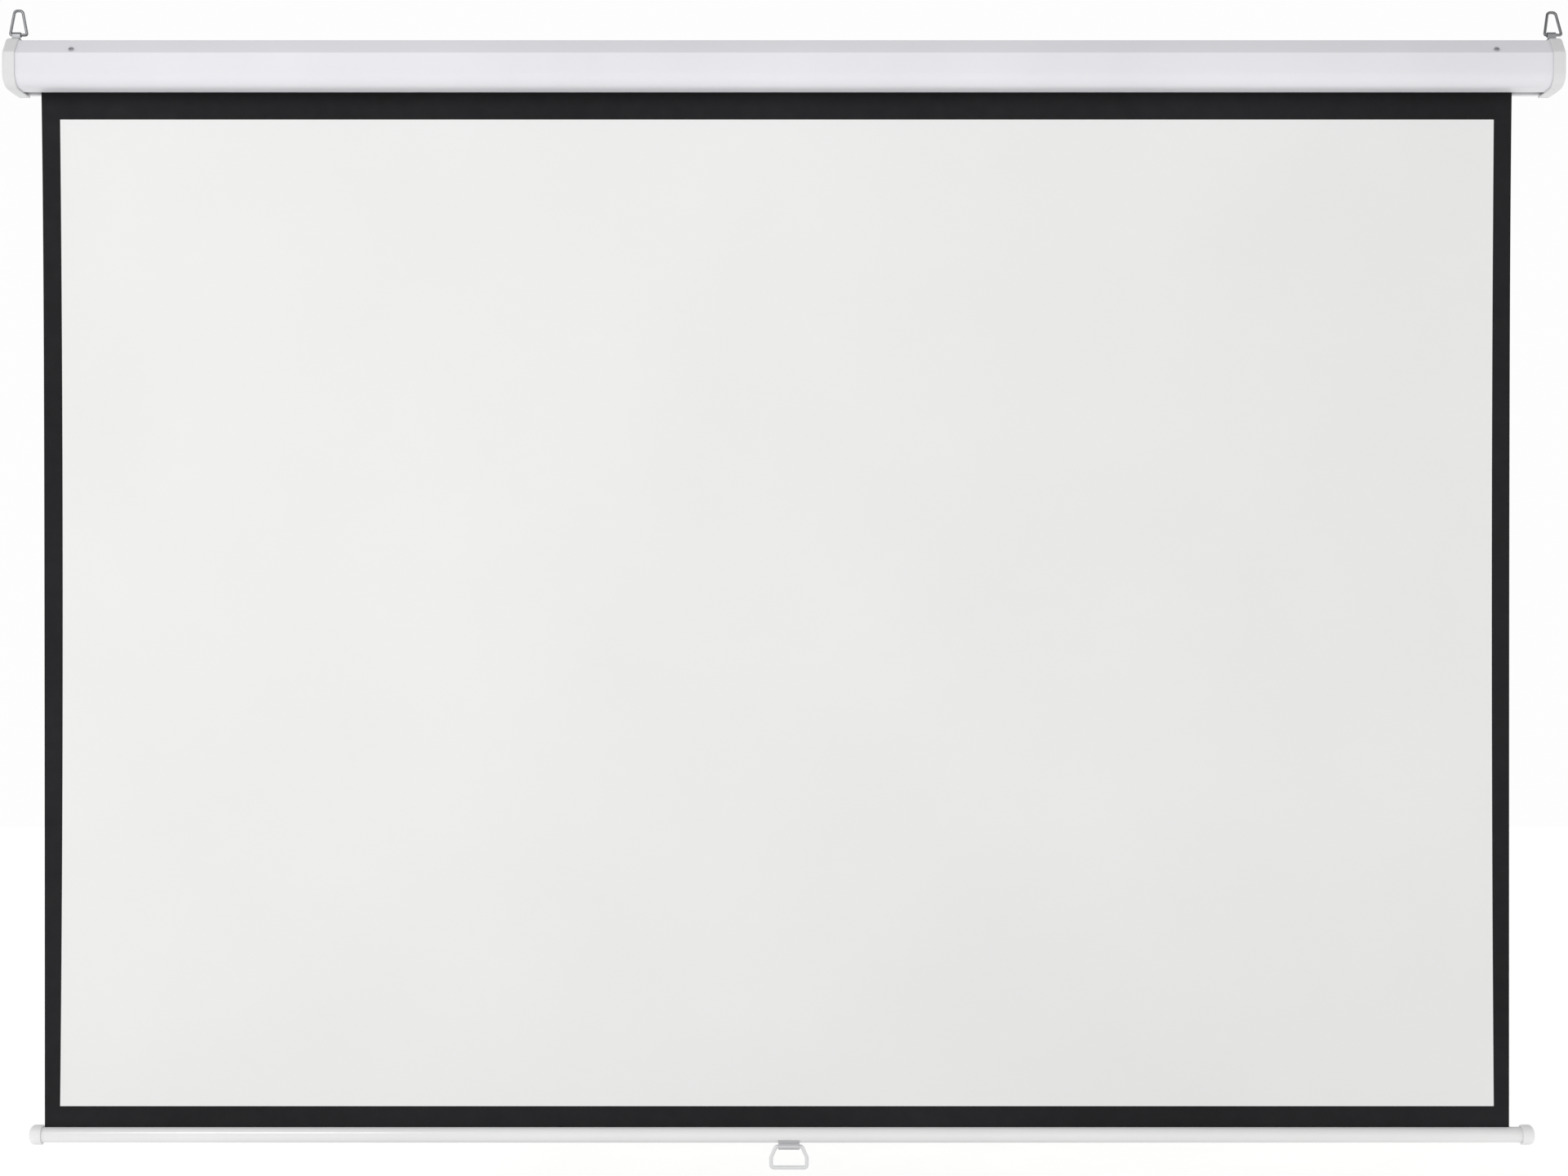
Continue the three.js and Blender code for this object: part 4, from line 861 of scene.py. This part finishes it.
nose_angle = np.linspace(0, math.pi / 2, 28)
nose_x = NOSE_START + NOSE_LENGTH * np.sin(nose_angle) ** (2 / NOSE_POWER)
nose_r = NOSE_RADIUS * np.cos(nose_angle) ** (2 / NOSE_POWER)
nose_r[-1] = 0
cap_profile = np.concatenate([CUP_PROFILE, np.stack([nose_x, nose_r], axis=1)])
cap_start = BAR_OVERALL_HALF - NOSE_START - NOSE_LENGTH
for side, hand in SIDES:
    rings = turned_points(cap_profile) * (side, 1, 1) + BAR_CENTRE + (side * cap_start, 0, 0)
    settle(turned(f"{hand}_bar_nose", rings, nose_plastic), "bar", "white_plastic",
           f"{hand}_bar_cap")

# %% [markdown]
# ## Saddle and rivets
#
# A strip of dull steel hugs the underside of the bar and loops round the top of the handle. Its
# outline has the shape of a wide omega. The joins between the bar's arcs and the loop are softened
# by cutting every corner of the path, which is the simplest way to smooth a line.

# %% Saddle
HANDLE_X, HANDLE_DROP = 7, 16.7
HUG_RADIUS, HUG_OUTER, HUG_INNER = 12.05, 58, 13
LOOP_RADIUS, LOOP_START, LOOP_END = 3.75, 52, -232
SADDLE_HALF_WIDTH, SADDLE_WALL = 15, 1.5


def cut_corners(path):
    """Every inner edge is replaced by its points at a quarter and three quarters."""
    quarter = 0.75 * path[:-1] + 0.25 * path[1:]
    three_quarters = 0.25 * path[:-1] + 0.75 * path[1:]
    inner = np.stack([quarter, three_quarters], axis=1).reshape(-1, 2)
    return np.concatenate([path[:1], inner, path[-1:]])


rear_hug = arc((0, 0), HUG_RADIUS, -90 + HUG_OUTER, -90 + HUG_INNER, steps=12)
loop = arc((0, -HANDLE_DROP), LOOP_RADIUS, LOOP_START, LOOP_END, steps=28)
front_hug = arc((0, 0), HUG_RADIUS, -90 - HUG_INNER, -90 - HUG_OUTER, steps=12)
saddle_path = cut_corners(np.concatenate([rear_hug, loop, front_hug]))
saddle_outline = strip(saddle_path, SADDLE_WALL) + BAR_CENTRE[1:]
saddle_sides = HANDLE_X + np.array([-SADDLE_HALF_WIDTH, SADDLE_HALF_WIDTH])
saddle = carried("handle_clip", saddle_outline, saddle_sides, saddle_steel)
soften(saddle)
settle(saddle, "bar", "saddle_steel", "handle_saddle")

# %% Rivets
RIVET_ANGLE, RIVET_SEAT, RIVET_SIDE, RIVET_SIDES = math.radians(40), 13.1, 10, 40
RIVET_RADIUS, RIVET_HEAD, RIVET_LENGTH, RIVET_RIM, RIVET_DOME = 1.5, 2.8, 5, 0.25, 0.75

rivet_out = np.array([0, math.sin(RIVET_ANGLE), -math.cos(RIVET_ANGLE)])
dome = np.linspace(0, math.pi / 2, 12)
rivet_profile = np.concatenate([
    [(-RIVET_LENGTH, 0), (-RIVET_LENGTH, 0.4), (-RIVET_LENGTH + 0.2, RIVET_RADIUS),
     (0, RIVET_RADIUS), (0, RIVET_HEAD), (RIVET_RIM, RIVET_HEAD)],
    np.stack([RIVET_RIM + RIVET_DOME * np.sin(dome), RIVET_HEAD * np.cos(dome)], axis=1),
])
rivet_basis = np.stack([rivet_out, (1, 0, 0), np.cross(rivet_out, (1, 0, 0))])
for side, hand in ((-1, "left"), (1, "right")):
    seat = (HANDLE_X + side * RIVET_SIDE, *BAR_CENTRE[1:]) + rivet_out * RIVET_SEAT
    rings = turned_points(rivet_profile, RIVET_SIDES) @ rivet_basis + seat
    settle(turned(f"{hand}_clip_rivet", rings, screw_steel), "bar", "screw_steel",
           f"{hand}_saddle_rivet")

# %% [markdown]
# ## Pull handle
#
# A loop of pale plastic, narrow where it passes through the saddle and wide enough below for two
# fingers. It is made as the rings are, along a path with six rounded corners.

# %% Pull handle
HANDLE_RADIUS, HANDLE_BEND, SHOULDER_BEND = 2.7, 4, 5
GRIP_HALF, GRIP_Z, SHOULDER_Z, EYE_HALF = 25.3, -29.8, -15.5, 18.5

handle_corners = [(-GRIP_HALF, GRIP_Z), (GRIP_HALF, GRIP_Z), (GRIP_HALF, SHOULDER_Z),
                  (EYE_HALF, 0), (-EYE_HALF, 0), (-GRIP_HALF, SHOULDER_Z)]
handle_bends = [HANDLE_BEND, HANDLE_BEND, SHOULDER_BEND] * 2
handle_path = rounded(handle_corners, handle_bends, steps=12)
handle_place = (HANDLE_X, SHEET_Y, BAR_CENTRE[2] - HANDLE_DROP)
handle_wire = wire_points(handle_path, HANDLE_RADIUS, sides=28) + handle_place
settle(looped("finger_loop", handle_wire, handle_plastic), "handle", "handle_plastic",
       "pull_handle")

# %% [markdown]
# ## Inner pieces
#
# The roller, its spring and its lock are inside the case and show only through the slot and from
# below. Their frame shapes are right as they are, so they keep them and get the finishes that
# such pieces have: zinc plate, oiled spring wire, grey plastic, natural nylon and black cloth.


# %% Inner pieces
def dress(finish, *names):
    """Gives frame nodes a finish, through the slots of their objects."""
    for name in names:
        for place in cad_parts[name].material_slots:
            place.material = finish
        print(f"{name}: {finish.name}")


leader_cloth = satin("leader_cloth", (0.016, 0.016, 0.018), (0.024, 0.023, 0.026),
                     (0.62, 0.8), 1400, 0.00005)
dress(zinc_steel, "right_end_bracket", "left_end_bracket", "roller_tube", "spring_spindle",
      "hem_rod")
dress(leader_cloth, "wound_leader")
dress(grey_plastic, "idle_end_plug", "roller_head", "spring_anchor_hub", "drive_plug")
dress(nylon, "idle_bush", "spindle_bush")
dress(screw_steel, "ratchet_wheel", "upper_pawl", "lower_pawl")
dress(spring_steel, "torsion_spring")
